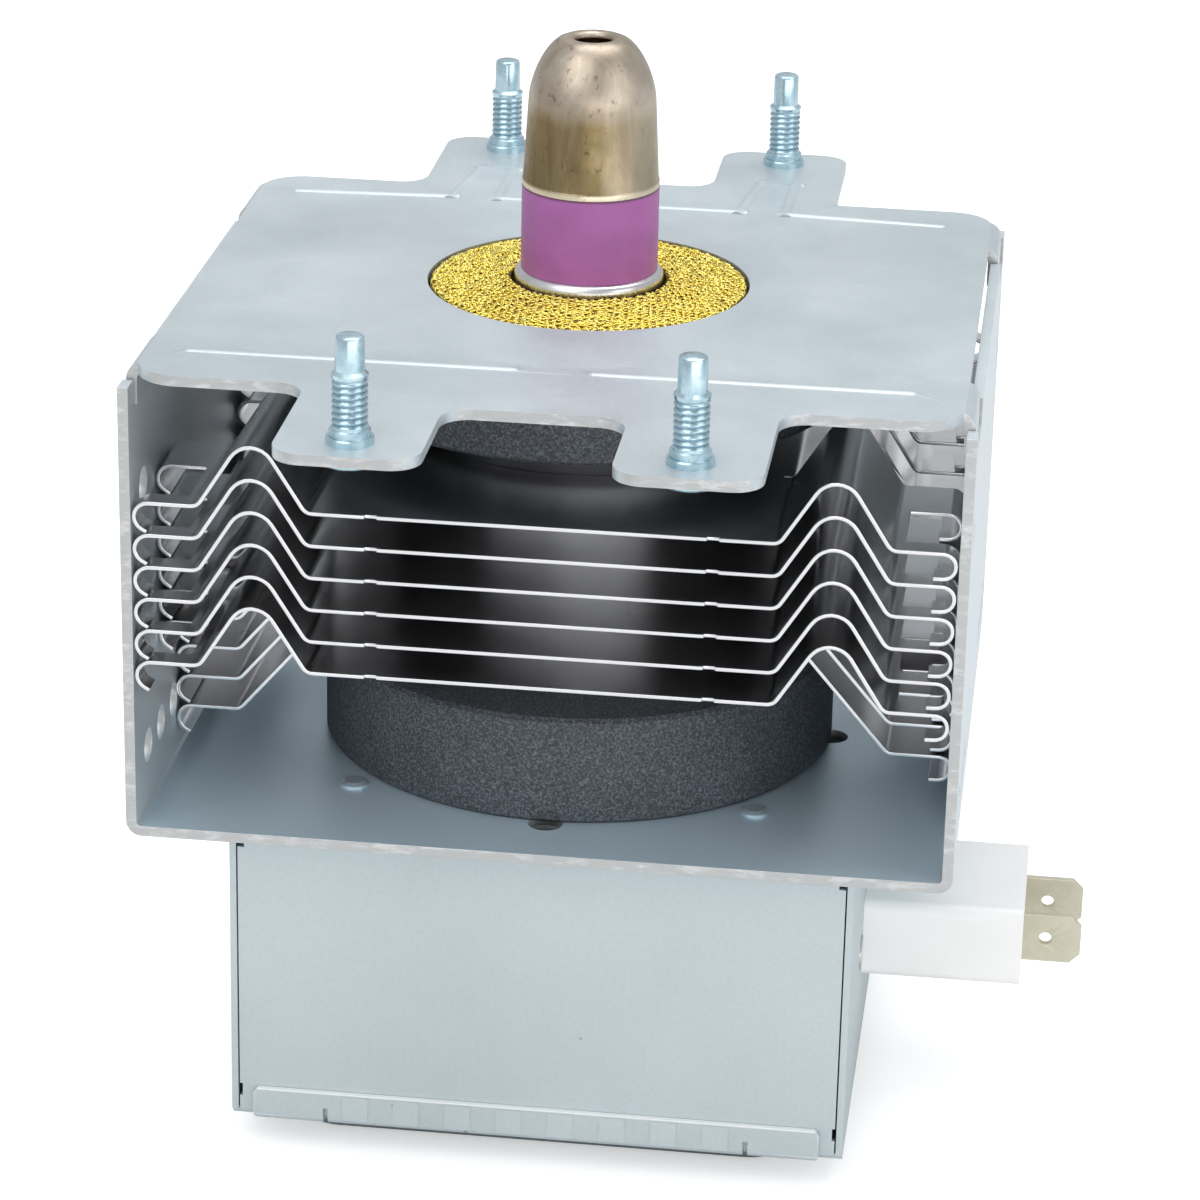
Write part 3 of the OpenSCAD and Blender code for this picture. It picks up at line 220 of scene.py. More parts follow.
# Cut edges of the sheet, by the range of facing over which a face along Y turns into one
EDGE_FACING = (0.65, 0.9)
CUT_STEEL = (0.45, 0.45, 0.44)
CUT_SHARE = 0.85
SHEARED = (0.66, 0.665, 0.66)
SHEARED_SHARE = 0.8
SHEAR_STRETCH = (0.5, 1.0, 1.6)
SHEAR_RANGE = (0.5, 0.66)


def cut_edge(tree, full):
    """Share of a cut edge's colour: full on the faces to the front and back, none elsewhere."""
    return span(tree, facing(tree, "Y"), *EDGE_FACING, 0.0, full)


def shear_marks(tree):
    """Uneven bright marks that the shears left on the cut edges."""
    streaks = noise(tree, object_point(tree, SHEAR_STRETCH), 0.9, detail=4.0, rough=0.65)
    marks = span(tree, streaks, *SHEAR_RANGE, 0.0, SHEARED_SHARE)
    return math_node(tree, "MULTIPLY", marks, cut_edge(tree, 1.0))


def make_zinc(name, dark, pale):
    """Zinc-plated sheet with bare steel at the cut edges, which face front and back."""
    material = sheet_metal(name, dark, pale, metallic=0.55, rough=(0.36, 0.5))
    tint(material, lambda tree: cut_edge(tree, CUT_SHARE), CUT_STEEL, "MIX")
    tint(material, shear_marks, SHEARED, "MIX")
    return material


SPECK = (0.16, 0.17, 0.18)
SPECK_SCALE = 0.11
SPECK_EDGE = (0.014, 0.03)


def make_box_zinc(name):
    """Zinc-plated sheet with a few small dark specks."""
    material = sheet_metal(name, (0.485, 0.55, 0.565), (0.545, 0.61, 0.625),
                           metallic=0.55, rough=(0.42, 0.55), cloud=0.03, relief=0.25)

    def specks(tree):
        return span(tree, cells(tree, object_point(tree), SPECK_SCALE), *SPECK_EDGE, 0.7, 0.0)

    tint(material, specks, SPECK, "MIX")
    return material


YOKE_FLOOR_Z = (38.0, 40.0)
YOKE_FLOOR_FACING = (0.8, 0.95)
YOKE_FLOOR_PAINTED_LIGHT = (0.62, 0.78, 0.88)


def make_yoke_zinc():
    """The yoke's sheet, with painted light on its floor: paler and bluer there than on its walls."""
    material = make_zinc("zinc_steel", (0.59, 0.655, 0.685), (0.66, 0.725, 0.755))

    def painted_floor_light(tree):
        flat = span(tree, facing(tree, "Z"), *YOKE_FLOOR_FACING, 0.0, 0.8)
        low = span(tree, height(tree), *YOKE_FLOOR_Z, 1.0, 0.0)
        return math_node(tree, "MULTIPLY", flat, low)

    # Painted light: the floor's upward faces tinted paler and bluer than the walls
    tint(material, painted_floor_light, YOKE_FLOOR_PAINTED_LIGHT, "MIX")
    return material


PAN_Z = (2.6, 3.4)
PAN_SHADE = (0.42, 0.44, 0.46)
LID_RIM_PAINTED_HIGHLIGHT = (0.96, 0.97, 0.97)
LID_RIM_DEPTH = (0.2, 0.05)
LID_CREST_PAINTED_HIGHLIGHT = (0.72, 0.75, 0.74)
LID_CREST_SQUARED = (0.0005, 0.006)


def make_lid_zinc():
    """The lid's sheet: a shaded pan, with a painted highlight along the strips' top rim and painted
    highlights on the crests of their ripples.
    """
    material = make_box_zinc("lid_zinc")
    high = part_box("filter_lid")[1]
    face = high[1] / MM
    rim_z = [high[2] / MM - depth for depth in LID_RIM_DEPTH]
    tint(material, lambda tree: span(tree, height(tree), *PAN_Z, 0.9, 0.0), PAN_SHADE, "MULTIPLY")
    # Painted highlight: a near-white band along the top of the strips
    tint(material, lambda tree: span(tree, height(tree), *rim_z, 0.0, 1.0), LID_RIM_PAINTED_HIGHLIGHT, "MIX")
    # Painted highlight: paler crests on the ripples, nearest the front face
    tint(material, lambda tree: span(tree, offset(tree, "Y", face), *LID_CREST_SQUARED, 0.12, 0.0),
         LID_CREST_PAINTED_HIGHLIGHT, "MIX")
    return material


ANODE_TOP_Z = (71.6, 72.6)
ANODE_TOP_PAINTED_SHADE = (0.03, 0.03, 0.035)


def make_anode_plating():
    """Dull plating over the anode's copper, with painted shade near its top."""
    material = sheet_metal("plated_copper", (0.50, 0.49, 0.47), (0.62, 0.61, 0.58),
                           metallic=1.0, rough=(0.3, 0.4), cloud=0.2)
    # Painted shade: the anode darkened near its top
    tint(material, lambda tree: span(tree, height(tree), *ANODE_TOP_Z, 0.0, 0.92), ANODE_TOP_PAINTED_SHADE, "MIX")
    return material


zinc = make_yoke_zinc()
plate_zinc = make_zinc("plate_zinc", (0.51, 0.58, 0.61), (0.59, 0.655, 0.685))
box_zinc = make_box_zinc("box_zinc")
lid_zinc = make_lid_zinc()
aluminium = sheet_metal("aluminium_sheet", (0.74, 0.74, 0.75), (0.82, 0.82, 0.83),
                        metallic=1.0, rough=(0.2, 0.28), grain=(0.12, 2.0, 2.0), relief=0.03, scuff=0.0)
plated_copper = make_anode_plating()
bright_steel = sheet_metal("bright_steel", (0.60, 0.60, 0.60), (0.72, 0.72, 0.72),
                           metallic=1.0, rough=(0.22, 0.34), cloud=0.2)
rivet_zinc = sheet_metal("rivet_zinc", (0.56, 0.66, 0.72), (0.64, 0.74, 0.80),
                         metallic=0.72, rough=(0.28, 0.36))
iron = sheet_metal("iron", (0.36, 0.37, 0.38), (0.45, 0.46, 0.47),
                   metallic=1.0, rough=(0.4, 0.5), cloud=0.2)
blue_zinc = sheet_metal("blue_zinc", (0.38, 0.55, 0.63), (0.62, 0.79, 0.86),
                        metallic=0.95, rough=(0.2, 0.34), cloud=0.6, relief=0.2)
copper = sheet_metal("copper", (0.60, 0.30, 0.19), (0.74, 0.42, 0.28),
                     metallic=1.0, rough=(0.28, 0.4), cloud=0.2)
enamel = sheet_metal("enamelled_copper", (0.34, 0.11, 0.05), (0.48, 0.18, 0.08),
                     metallic=0.4, rough=(0.2, 0.3), cloud=0.5)
tungsten = sheet_metal("tungsten", (0.22, 0.22, 0.23), (0.32, 0.32, 0.33),
                       metallic=1.0, rough=(0.45, 0.6), cloud=0.5)
tinned = sheet_metal("tinned_brass", (0.55, 0.52, 0.40), (0.66, 0.63, 0.52),
                     metallic=0.75, rough=(0.35, 0.5), cloud=0.15)


def make_ferrite():
    """Sintered black ferrite with paler grains."""
    material, tree, shader = new_material("ferrite")
    point = object_point(tree)
    grain = noise(tree, point, 3.8, detail=4.0, rough=0.7)
    clouds = noise(tree, point, 0.12)
    tone = ramp(tree, grain, [
        (0.38, (0.022, 0.026, 0.031)), (0.5, (0.050, 0.058, 0.067)), (0.64, (0.135, 0.152, 0.17)),
    ])
    shade = span(tree, clouds, *NOISE_RANGE, 0.85, 1.15)
    tree.links.new(blend(tree, 1.0, tone, shade, "MULTIPLY"), shader.inputs["Base Color"])
    shader.inputs["Roughness"].default_value = 0.62
    bump(tree, shader, grain, distance=0.06, strength=0.6)
    return material


def make_ceramic(name, dark, pale, rough):
    """Fired ceramic with a faint cloud in its colour."""
    material, tree, shader = new_material(name)
    point = object_point(tree)
    clouds = noise(tree, point, 0.25, detail=4.0)
    tree.links.new(two_tone(tree, clouds, dark, pale), shader.inputs["Base Color"])
    shader.inputs["Roughness"].default_value = rough
    shader.inputs["Specular IOR Level"].default_value = 0.45
    bump(tree, shader, noise(tree, point, 4.0, detail=2.0), distance=0.01, strength=0.4)
    return material


CERAMIC_JOINT_Z = (97.2, 97.45)
CERAMIC_JOINT_DARK = (0.08, 0.03, 0.05)


def make_purple():
    """Purple antenna ceramic with a dark joint under the cap."""
    material = make_ceramic("purple_ceramic", (0.33, 0.10, 0.30), (0.40, 0.125, 0.37), rough=0.42)
    tint(material, lambda tree: span(tree, height(tree), *CERAMIC_JOINT_Z, 0.0, 0.85),
         CERAMIC_JOINT_DARK, "MIX")
    return material


CAP_STAIN_Z = 106.2
CAP_STAIN_FADE = 1.4
CAP_RIM_Z = 97.95
CAP_RIM_FADE = 0.3
CAP_RIM = (0.86, 0.76, 0.55)
CAP_PAINTED_LIGHT_X = (1.5, 5.5)
CAP_SIDE_PAINTED_LIGHT = (0.60, 0.54, 0.44)
CAP_SMEAR_STRETCH = (1.0, 1.0, 0.25)
CAP_SPOT_STRETCH = (1.0, 1.0, 0.6)
CAP_DRAWN_STRETCH = (1.0, 1.0, 3.0)


def make_cap():
    """Tarnished plated cap: brown wall, paler dome and rim, upright smears, dark spots and painted light
    that makes the side towards +X paler.
    """
    material, tree, shader = new_material("cap_metal")
    smear = noise(tree, object_point(tree, CAP_SMEAR_STRETCH), 0.22, detail=4.0, rough=0.6, distortion=0.8)
    stain = noise(tree, object_point(tree), 0.5, detail=5.0, rough=0.65, distortion=0.4)
    wall = ramp(tree, smear, [
        (0.3, (0.17, 0.115, 0.045)), (0.5, (0.24, 0.18, 0.09)), (0.7, (0.36, 0.30, 0.185)),
    ])
    dome = ramp(tree, smear, [
        (0.3, (0.35, 0.28, 0.21)), (0.5, (0.46, 0.39, 0.31)), (0.7, (0.62, 0.55, 0.46)),
    ])
    wavy = math_node(tree, "ADD", height(tree), span(tree, stain, *NOISE_RANGE, -0.5, 0.5))
    above = span(tree, wavy, CAP_STAIN_Z - CAP_STAIN_FADE, CAP_STAIN_Z + CAP_STAIN_FADE, 0.0, 1.0)
    base = blend(tree, above, wall, dome)
    rim = span(tree, height(tree), CAP_RIM_Z, CAP_RIM_Z + CAP_RIM_FADE, 0.85, 0.0)
    base = blend(tree, rim, base, CAP_RIM)
    fleck = noise(tree, object_point(tree, CAP_SPOT_STRETCH), 1.3, detail=4.0, rough=0.6, distortion=0.5)
    spots = ramp(tree, fleck, [(0.6, (1, 1, 1)), (0.72, (0.5, 0.42, 0.34))])
    tree.links.new(blend(tree, 1.0, base, spots, "MULTIPLY"), shader.inputs["Base Color"])
    tree.links.new(span(tree, stain, 0.35, 0.7, 0.32, 0.48), shader.inputs["Roughness"])
    shader.inputs["Metallic"].default_value = 1.0
    drawn = noise(tree, object_point(tree, CAP_DRAWN_STRETCH), 1.2)
    bump(tree, shader, drawn, distance=0.02, strength=0.4)
    # Painted light: the side towards +X tinted paler
    tint(material, lambda tree: span(tree, coordinate(tree, "X"), *CAP_PAINTED_LIGHT_X, 0.0, 0.45), CAP_SIDE_PAINTED_LIGHT, "MIX")
    return material


def make_plastic():
    """White moulded plastic, slightly translucent."""
    material, tree, shader = new_material("white_plastic")
    point = object_point(tree)
    tone = two_tone(tree, noise(tree, point, 0.15), (0.91, 0.895, 0.875), (0.95, 0.935, 0.915))
    tree.links.new(tone, shader.inputs["Base Color"])
    shader.inputs["Roughness"].default_value = 0.38
    shader.inputs["Subsurface Weight"].default_value = 0.08
    shader.inputs["Subsurface Radius"].default_value = (2 * MM, 2 * MM, 2 * MM)
    bump(tree, shader, noise(tree, point, 2.0, detail=2.0), distance=0.01, strength=0.3)
    return material


def make_brass():
    """Bright brass wire."""
    material, tree, shader = new_material("brass_mesh")
    clouds = noise(tree, object_point(tree), 0.9)
    tone = two_tone(tree, clouds, (0.84, 0.64, 0.09), (1.0, 0.88, 0.26))
    tree.links.new(tone, shader.inputs["Base Color"])
    shader.inputs["Metallic"].default_value = 1.0
    shader.inputs["Roughness"].default_value = 0.3
    return material


def make_brass_core():
    """Wire deep in the mesh, its shade painted into a dark colour."""
    material, tree, shader = new_material("brass_core")
    point = object_point(tree)
    clouds = noise(tree, point, 1.6)
    tone = ramp(tree, clouds, [(0.35, (0.12, 0.07, 0.01)), (0.7, (0.34, 0.22, 0.04))])
    tree.links.new(tone, shader.inputs["Base Color"])
    shader.inputs["Metallic"].default_value = 0.6
    shader.inputs["Roughness"].default_value = 0.5
    bump(tree, shader, cells(tree, point, 1.6), distance=0.3, strength=0.8)
    return material


ferrite = make_ferrite()
purple = make_purple()
white_ceramic = make_ceramic("white_ceramic", (0.78, 0.77, 0.74), (0.86, 0.85, 0.83), rough=0.5)
cap_metal = make_cap()
plastic = make_plastic()
brass = make_brass()
brass_core = make_brass_core()

FINISH = {
    "yoke_frame": zinc,
    "top_plate": plate_zinc,
    "mounting_studs": blue_zinc,
    "rf_gasket": brass,
    "upper_magnet": ferrite,
    "lower_magnet": ferrite,
    "anode_cylinder": plated_copper,
    "anode_vanes": copper,
    "strap_rings": copper,
    "upper_pole_piece": iron,
    "lower_pole_piece": iron,
    "upper_seal_cup": bright_steel,
    "lower_seal_cup": bright_steel,
    "antenna_ceramic": purple,
    "antenna_cap": cap_metal,
    "exhaust_tube": copper,
    "antenna_lead": copper,
    "cathode_filament": tungsten,
    "upper_end_hat": tungsten,
    "lower_end_hat": tungsten,
    "centre_lead": tungsten,
    "side_lead": tungsten,
    "stem_ceramic": white_ceramic,
    "filter_box": box_zinc,
    "filter_lid": lid_zinc,
    "box_rivets": rivet_zinc,
    "choke_windings": enamel,
    "choke_cores": ferrite,
    "capacitor_plate": bright_steel,
    "plate_eyelets": bright_steel,
    "connector_housing": plastic,
    "terminal_tabs": tinned,
}
FINS = ["cooling_fin_%d" % i for i in range(1, 7)]
FINISH.update({fin: aluminium for fin in FINS})

for name, material in FINISH.items():
    mesh = nodes[name].data
    mesh.materials.clear()
    mesh.materials.append(material)


# Pieces

def add_piece(name, mesh, material, crease):
    """Shows a mesh as a piece that rides on the part, smooth except at its creases."""
    mesh.shade_smooth()
    mesh.set_sharp_from_angle(angle=math.radians(crease))
    mesh.materials.append(material)
    piece = bpy.data.objects.new(name, mesh)
    bpy.context.scene.collection.objects.link(piece)
    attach(piece, "root")
    return piece


# Rounded edges: points nearer than MERGE, in millimetres, are joined, and angles are in degrees
MERGE = 0.001
FLAT_ANGLE = 0.5
SHARP_ANGLE = 50
ROUNDED_CREASE = 35


def round_edges(node, radius):
    """Stands in for a node of cut sheet or moulding, with its sharp edges rounded off."""
    work = bmesh.new()
    work.from_mesh(nodes[node].data)
    bmesh.ops.remove_doubles(work, verts=work.verts, dist=MERGE * MM)
    bmesh.ops.dissolve_limit(work, angle_limit=math.radians(FLAT_ANGLE), verts=work.verts, edges=work.edges)
    least = math.radians(SHARP_ANGLE)
    sharp = [edge for edge in work.edges if edge.is_manifold and edge.calc_face_angle() > least]
    bmesh.ops.bevel(work, geom=sharp, offset=radius * MM, segments=2, profile=0.5, affect="EDGES",
                    clamp_overlap=True)
    bmesh.ops.triangulate(work, faces=work.faces)
    mesh = bpy.data.meshes.new(node + "_rounded")
    work.to_mesh(mesh)
    work.free()
    piece = add_piece(node + "_rounded", mesh, FINISH[node], ROUNDED_CREASE)
    piece.modifiers.new("flat_faces", "WEIGHTED_NORMAL").keep_sharp = True
    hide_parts(node)


def turned(profile, sides, radius_at):
    """Rings of points for a profile of (radius, z), each radius passed through radius_at."""
    points = []
    for radius, z in profile:
        for i in range(sides):
            angle = 2 * math.pi * i / sides
            r = radius_at(radius, z, angle)
            points.append((r * math.cos(angle), r * math.sin(angle), z))
    return points


def ring_faces(rings, sides, first=0):
    """Faces between the rings of points that turned makes."""
    faces = []
    for ring in range(rings - 1):
        low = first + ring * sides
        high = low + sides
        for i in range(sides):
            after = (i + 1) % sides
            faces.append((low + i, low + after, high + after, high + i))
    return faces


# Threaded studs, with sizes in millimetres and heights from the plate's underside
STUD_SIDES = 40
STUD_SHEET = 1.1
STUD_HEIGHT = 10.5
STUD_HEAD_R = 3.0
STUD_HEAD_H = 0.8
HEAD_CHAMFER = 0.2
STUD_SHANK_R = 2.2
COLLAR_R = 2.3
COLLAR_CHAMFER = 0.12
STEP_R = 2.0
STEP_H = 0.75
STEP_CHAMFER = 0.15
THREAD_R = 1.75
THREAD_DEPTH = 0.17
THREAD_PITCH = 0.62
THREAD_STEPS = 10
THREAD_RUNOUT = 0.4
THREAD_CREST = 0.03
THREAD_SHADE = (0.30, 0.38, 0.44)
THREAD_FADE = 0.05
SHOULDER_R = 1.77
SHOULDER_H = 0.55
SHOULDER_FADE = 0.1
SHOULDER_BEVEL = 0.3
POINT_R = 1.42
POINT_H = 3.4
POINT_FOOT_H = 0.15
# Rounding of the point's end, as (radius less, depth below the top)
POINT_END = ((0.04, 0.3), (0.12, 0.1), (0.3, 0.0))
AXIS_R = 0.02
STUD_CREASE = 30


def stud_profile():
    """Section of a stud as (radius, z), with the heights where its thread starts and ends."""
    collar_top = STUD_SHEET + STEP_H
    foot = STUD_SHEET + 2 * STEP_H
    top = STUD_SHEET + STUD_HEIGHT
    point_z = top - POINT_H
    thread_top = point_z - SHOULDER_H
    profile = [
        (AXIS_R, -STUD_HEAD_H), (STUD_HEAD_R - HEAD_CHAMFER, -STUD_HEAD_H),
        (STUD_HEAD_R, -STUD_HEAD_H + HEAD_CHAMFER), (STUD_HEAD_R, 0),
        (STUD_SHANK_R, 0), (STUD_SHANK_R, STUD_SHEET),
        (COLLAR_R, STUD_SHEET), (COLLAR_R, collar_top - STEP_CHAMFER),
        (COLLAR_R - COLLAR_CHAMFER, collar_top),
        (STEP_R, collar_top), (STEP_R, foot - STEP_CHAMFER), (STEP_R - STEP_CHAMFER, foot),
    ]
    steps = THREAD_STEPS * int((thread_top - foot) / THREAD_PITCH)
    profile += [(THREAD_R, foot + (thread_top - foot) * i / steps) for i in range(steps + 1)]
    profile += [
        (SHOULDER_R, thread_top + SHOULDER_FADE), (SHOULDER_R, point_z - SHOULDER_BEVEL),
        (POINT_R, point_z), (POINT_R, point_z + POINT_FOOT_H),
    ]
    profile += [(POINT_R - less, top - depth) for less, depth in POINT_END]
    profile.append((AXIS_R, top))
    return profile, foot, thread_top


def shade_grooves(half_x, half_y, thread_end):
    """Darkens the thread's grooves, by the distance from the nearest stud's axis."""

    def groove_share(tree):
        square = math_node(tree, "ADD", offset(tree, "X", half_x), offset(tree, "Y", half_y))
        radius = math_node(tree, "SQRT", square, 0)
        deep = span(tree, radius, THREAD_R - THREAD_DEPTH, THREAD_R - THREAD_CREST, 0.8, 0.0)
        below = span(tree, height(tree), thread_end, thread_end + THREAD_FADE, 1.0, 0.0)
        return math_node(tree, "MULTIPLY", deep, below)

    tint(blue_zinc, groove_share, THREAD_SHADE, "MULTIPLY")


def make_studs():
    """The four studs on the tongues, in one mesh."""
    mounts = frame["record"]["mounts"]
    pattern = next(mount for mount in mounts if mount["name"] == "plate_studs")["dims"]
    half_x = pattern["spacing_x_mm"] / 2
    half_y = pattern["spacing_y_mm"] / 2
    seat_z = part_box("mounting_studs")[0][2] / MM + STUD_HEAD_H
    profile, foot, thread_top = stud_profile()

    def thread(radius, z, angle):
        if radius != THREAD_R:
            return radius
        turn = (z - foot) / THREAD_PITCH - angle / (2 * math.pi)
        groove = abs(2 * (turn % 1) - 1)
        ends = min(1, (z - foot) / THREAD_RUNOUT, (thread_top - z) / THREAD_RUNOUT)
        return radius - THREAD_DEPTH * groove * ends

    ring_points = turned(profile, STUD_SIDES, thread)
    points = []
    faces = []
    for x in (-half_x, half_x):
        for y in (-half_y, half_y):
            base = Vector((x, y, seat_z))
            first = len(points)
            points += [(base + Vector(p)) * MM for p in ring_points]
            faces += ring_faces(len(profile), STUD_SIDES, first)
            last = first + (len(profile) - 1) * STUD_SIDES
            faces.append(tuple(range(first + STUD_SIDES - 1, first - 1, -1)))
            faces.append(tuple(range(last, last + STUD_SIDES)))
    mesh = bpy.data.meshes.new("threaded_studs")
    mesh.from_pydata(points, [], faces)
    shade_grooves(half_x, half_y, seat_z + thread_top)
    piece = add_piece("threaded_studs", mesh, blue_zinc, STUD_CREASE)
    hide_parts("mounting_studs")


# Knitted gasket: rows of looped wire over a dark core, in millimetres
WIRE_R = 0.115
WIRE_SIDES = 5
WIRE_GAP = 0.02
WIRE_REACH = WIRE_R + WIRE_GAP
WIRE_CREASE = 80
ROW_PITCH = 0.54
STITCH = 0.82
LOOP_OUT = 0.6
LOOP_ALONG = 0.36
LOOP_POINTS = 9
LOOP_LEAN = 0.3
LEAN_RANGE = (-0.5, 0.5)
LOOP_ROLL = 0.1
ROLL_BY_LEAN = 6
LOOP_SINK = 0.16
LOOP_SIZE = (0.7, 1.15)
LOOP_SEED = 7
GASKET_BORE_R = 8.1
GASKET_RISE = 0.75
GASKET_EDGE = 0.35
EDGE_DROP = 0.6
CORE_DROP = 0.32
CORE_GAP = 0.02
CORE_SIDES = 96
CORE_CREASE = 40


def wire_tube(path, points, faces):
    """Adds the points and faces of a closed tube along a closed path."""
    count = len(path)
    first = len(points)
    for i, here in enumerate(path):
        way = (path[(i + 1) % count] - path[i - 1]).normalized()
        side = way.cross(Vector((0, 0, 1))).normalized()
        up = side.cross(way)
        for k in range(WIRE_SIDES):
            angle = 2 * math.pi * k / WIRE_SIDES
            points.append((here + WIRE_R * (math.cos(angle) * side + math.sin(angle) * up)) * MM)
    for i in range(count):
        near = first + i * WIRE_SIDES
        far = first + (i + 1) % count * WIRE_SIDES
        for k in range(WIRE_SIDES):
            after = (k + 1) % WIRE_SIDES
            faces.append((near + k, near + after, far + after, far + k))


def loop_row(middle, outer_r, surface, draw):
    """Closed path of one row of loops round the gasket, each with its own lean, depth and size."""
    stitches = int(2 * math.pi * middle / STITCH)
    lean = [draw.uniform(*LEAN_RANGE) for i in range(stitches)]
    lift = [draw.uniform(-LOOP_SINK, 0.0) for i in range(stitches)]
    size = [draw.uniform(*LOOP_SIZE) for i in range(stitches)]
    path = []
    for i in range(stitches * LOOP_POINTS):
        stitch = i // LOOP_POINTS
        phase = 2 * math.pi * (i % LOOP_POINTS) / LOOP_POINTS
        out = 0.5 * LOOP_OUT * size[stitch] * math.cos(phase)
        leaning = LOOP_LEAN * lean[stitch] * math.cos(phase)
        along = i / LOOP_POINTS * STITCH + LOOP_ALONG * math.sin(phase) + leaning
        r = min(max(middle + out, GASKET_BORE_R + WIRE_REACH), outer_r - WIRE_REACH)
        angle = 2 * math.pi * along / (stitches * STITCH)
        roll = LOOP_ROLL * math.sin(2 * phase + ROLL_BY_LEAN * lean[stitch])
        z = surface(r) - WIRE_R + lift[stitch] + roll - LOOP_ROLL
        path.append(Vector((r * math.cos(angle), r * math.sin(angle), z)))
    return path


def make_gasket_wire(outer_r, surface):
    """Rows of loops from the bore to the rim."""
    draw = random.Random(LOOP_SEED)
    width = outer_r - GASKET_BORE_R - LOOP_OUT
    rows = int(width / ROW_PITCH)
    points = []
    faces = []
    for row in range(rows + 1):
        middle = GASKET_BORE_R + LOOP_OUT / 2 + WIRE_REACH + (width - 2 * WIRE_REACH) * row / rows
        wire_tube(loop_row(middle, outer_r, surface, draw), points, faces)
    mesh = bpy.data.meshes.new("gasket_wire")
    mesh.from_pydata(points, [], faces)
    wire = add_piece("gasket_wire", mesh, brass, WIRE_CREASE)
    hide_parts("rf_gasket")


def make_gasket_core(outer_r, bottom, surface):
    """Dark ring under the loops, with the shade of the wire deep in the mesh painted into it."""
    inner_r = GASKET_BORE_R
    profile = [(inner_r + CORE_GAP, bottom), (inner_r + CORE_GAP, surface(inner_r) - CORE_DROP)]
    for r in (inner_r + GASKET_EDGE, outer_r - GASKET_EDGE):
        profile.append((r, surface(r) - CORE_DROP))
    profile += [(outer_r - CORE_GAP, surface(outer_r) - CORE_DROP), (outer_r - CORE_GAP, bottom), profile[0]]
    mesh = bpy.data.meshes.new("gasket_core")
    points = turned(profile, CORE_SIDES, lambda radius, z, angle: radius)
    mesh.from_pydata([Vector(p) * MM for p in points], [], ring_faces(len(profile), CORE_SIDES))
    # Painted shade: a dark ring stands in for the shaded wire deep in the mesh
    add_piece("gasket_core", mesh, brass_core, CORE_CREASE)


def make_gasket():
    """The gasket's wire and core, both under a top that falls from the bore to the rim."""
    low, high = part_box("rf_gasket")
    outer_r = high[0] / MM
    inner_top = high[2] / MM
    outer_top = inner_top - GASKET_RISE

    def surface(r):
        share = (r - GASKET_BORE_R) / (outer_r - GASKET_BORE_R)
        edge = max(0, GASKET_EDGE - (outer_r - r), GASKET_EDGE - (r - GASKET_BORE_R))
        return inner_top + (outer_top - inner_top) * share - EDGE_DROP * edge

    make_gasket_wire(outer_r, surface)
    make_gasket_core(outer_r, low[2] / MM, surface)


# Antenna cap: a slightly tapered wall and a smooth crown, in millimetres
CAP_SIDES = 96
CAP_LIP_H = 0.6
CAP_LIP = 0.1
LIP_ROUND_R = 0.04
LIP_ROUND_H = 0.1
LIP_FADE_H = 0.12
CROWN_START = 8.95
CROWN_R = 6.55
CROWN_TOP_R = 3.0
CROWN_POWER = 1.6
CROWN_STEPS = 28
CAP_HOLE_R = 1.95
CAP_WALL = 0.5
CROWN_EXTRA = 0.1
CROWN_INNER_H = 2
CAP_CREASE = 40
# Rounding of the hole's rim, as (radius beyond the hole, depth below the top)
HOLE_RIM = ((0.45, 0.03), (0.15, 0.14), (0.0, 0.35))


def cap_profile(foot_z, top_z, lip_r):
    """Closed section of the cap, from its inner foot up the outside and back down the inside."""
    crown_z = foot_z + CROWN_START
    wall_r = lip_r - CAP_LIP
    profile = [
        (wall_r - CAP_WALL, foot_z), (lip_r, foot_z), (lip_r, foot_z + CAP_LIP_H - LIP_ROUND_H),
        (lip_r - LIP_ROUND_R, foot_z + CAP_LIP_H), (wall_r, foot_z + CAP_LIP_H + LIP_FADE_H),
    ]
    for i in range(CROWN_STEPS + 1):
        rise = i / CROWN_STEPS
        share = (1 - rise ** CROWN_POWER) ** (1 / CROWN_POWER)
        crown_r = CROWN_TOP_R + (CROWN_R - CROWN_TOP_R) * share
        profile.append((crown_r, crown_z + (top_z - crown_z) * rise))
    profile += [(CAP_HOLE_R + beyond, top_z - depth) for beyond, depth in HOLE_RIM]
    under_z = top_z - CAP_WALL - CROWN_EXTRA
    profile += [
        (CAP_HOLE_R, under_z), (CROWN_TOP_R, under_z),
        (CROWN_R - 2 * CAP_WALL, crown_z + CROWN_INNER_H), (CROWN_R - CAP_WALL, crown_z),
    ]
    profile.append(profile[0])
    return profile


def make_cap_piece():
    """The drawn cap, turned about the antenna's axis."""
    low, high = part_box("antenna_cap")
    profile = cap_profile(low[2] / MM, high[2] / MM, high[0] / MM)
    points = turned(profile, CAP_SIDES, lambda radius, z, angle: radius)
    mesh = bpy.data.meshes.new("drawn_cap")
    mesh.from_pydata([Vector(p) * MM for p in points], [], ring_faces(len(profile), CAP_SIDES))
    piece = add_piece("drawn_cap", mesh, cap_metal, CAP_CREASE)
    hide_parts("antenna_cap")


# Radii of the rounded edges, in millimetres
SHEET_EDGE = 0.14
LID_EDGE = 0.08
FIN_EDGE = 0.07
HOUSING_EDGE = 0.4
TAB_EDGE = 0.1

for node in ("yoke_frame", "top_plate", "filter_box"):
    round_edges(node, SHEET_EDGE)
round_edges("filter_lid", LID_EDGE)
for fin in FINS:
    round_edges(fin, FIN_EDGE)
round_edges("connector_housing", HOUSING_EDGE)
round_edges("terminal_tabs", TAB_EDGE)
make_studs()
make_gasket()
make_cap_piece()


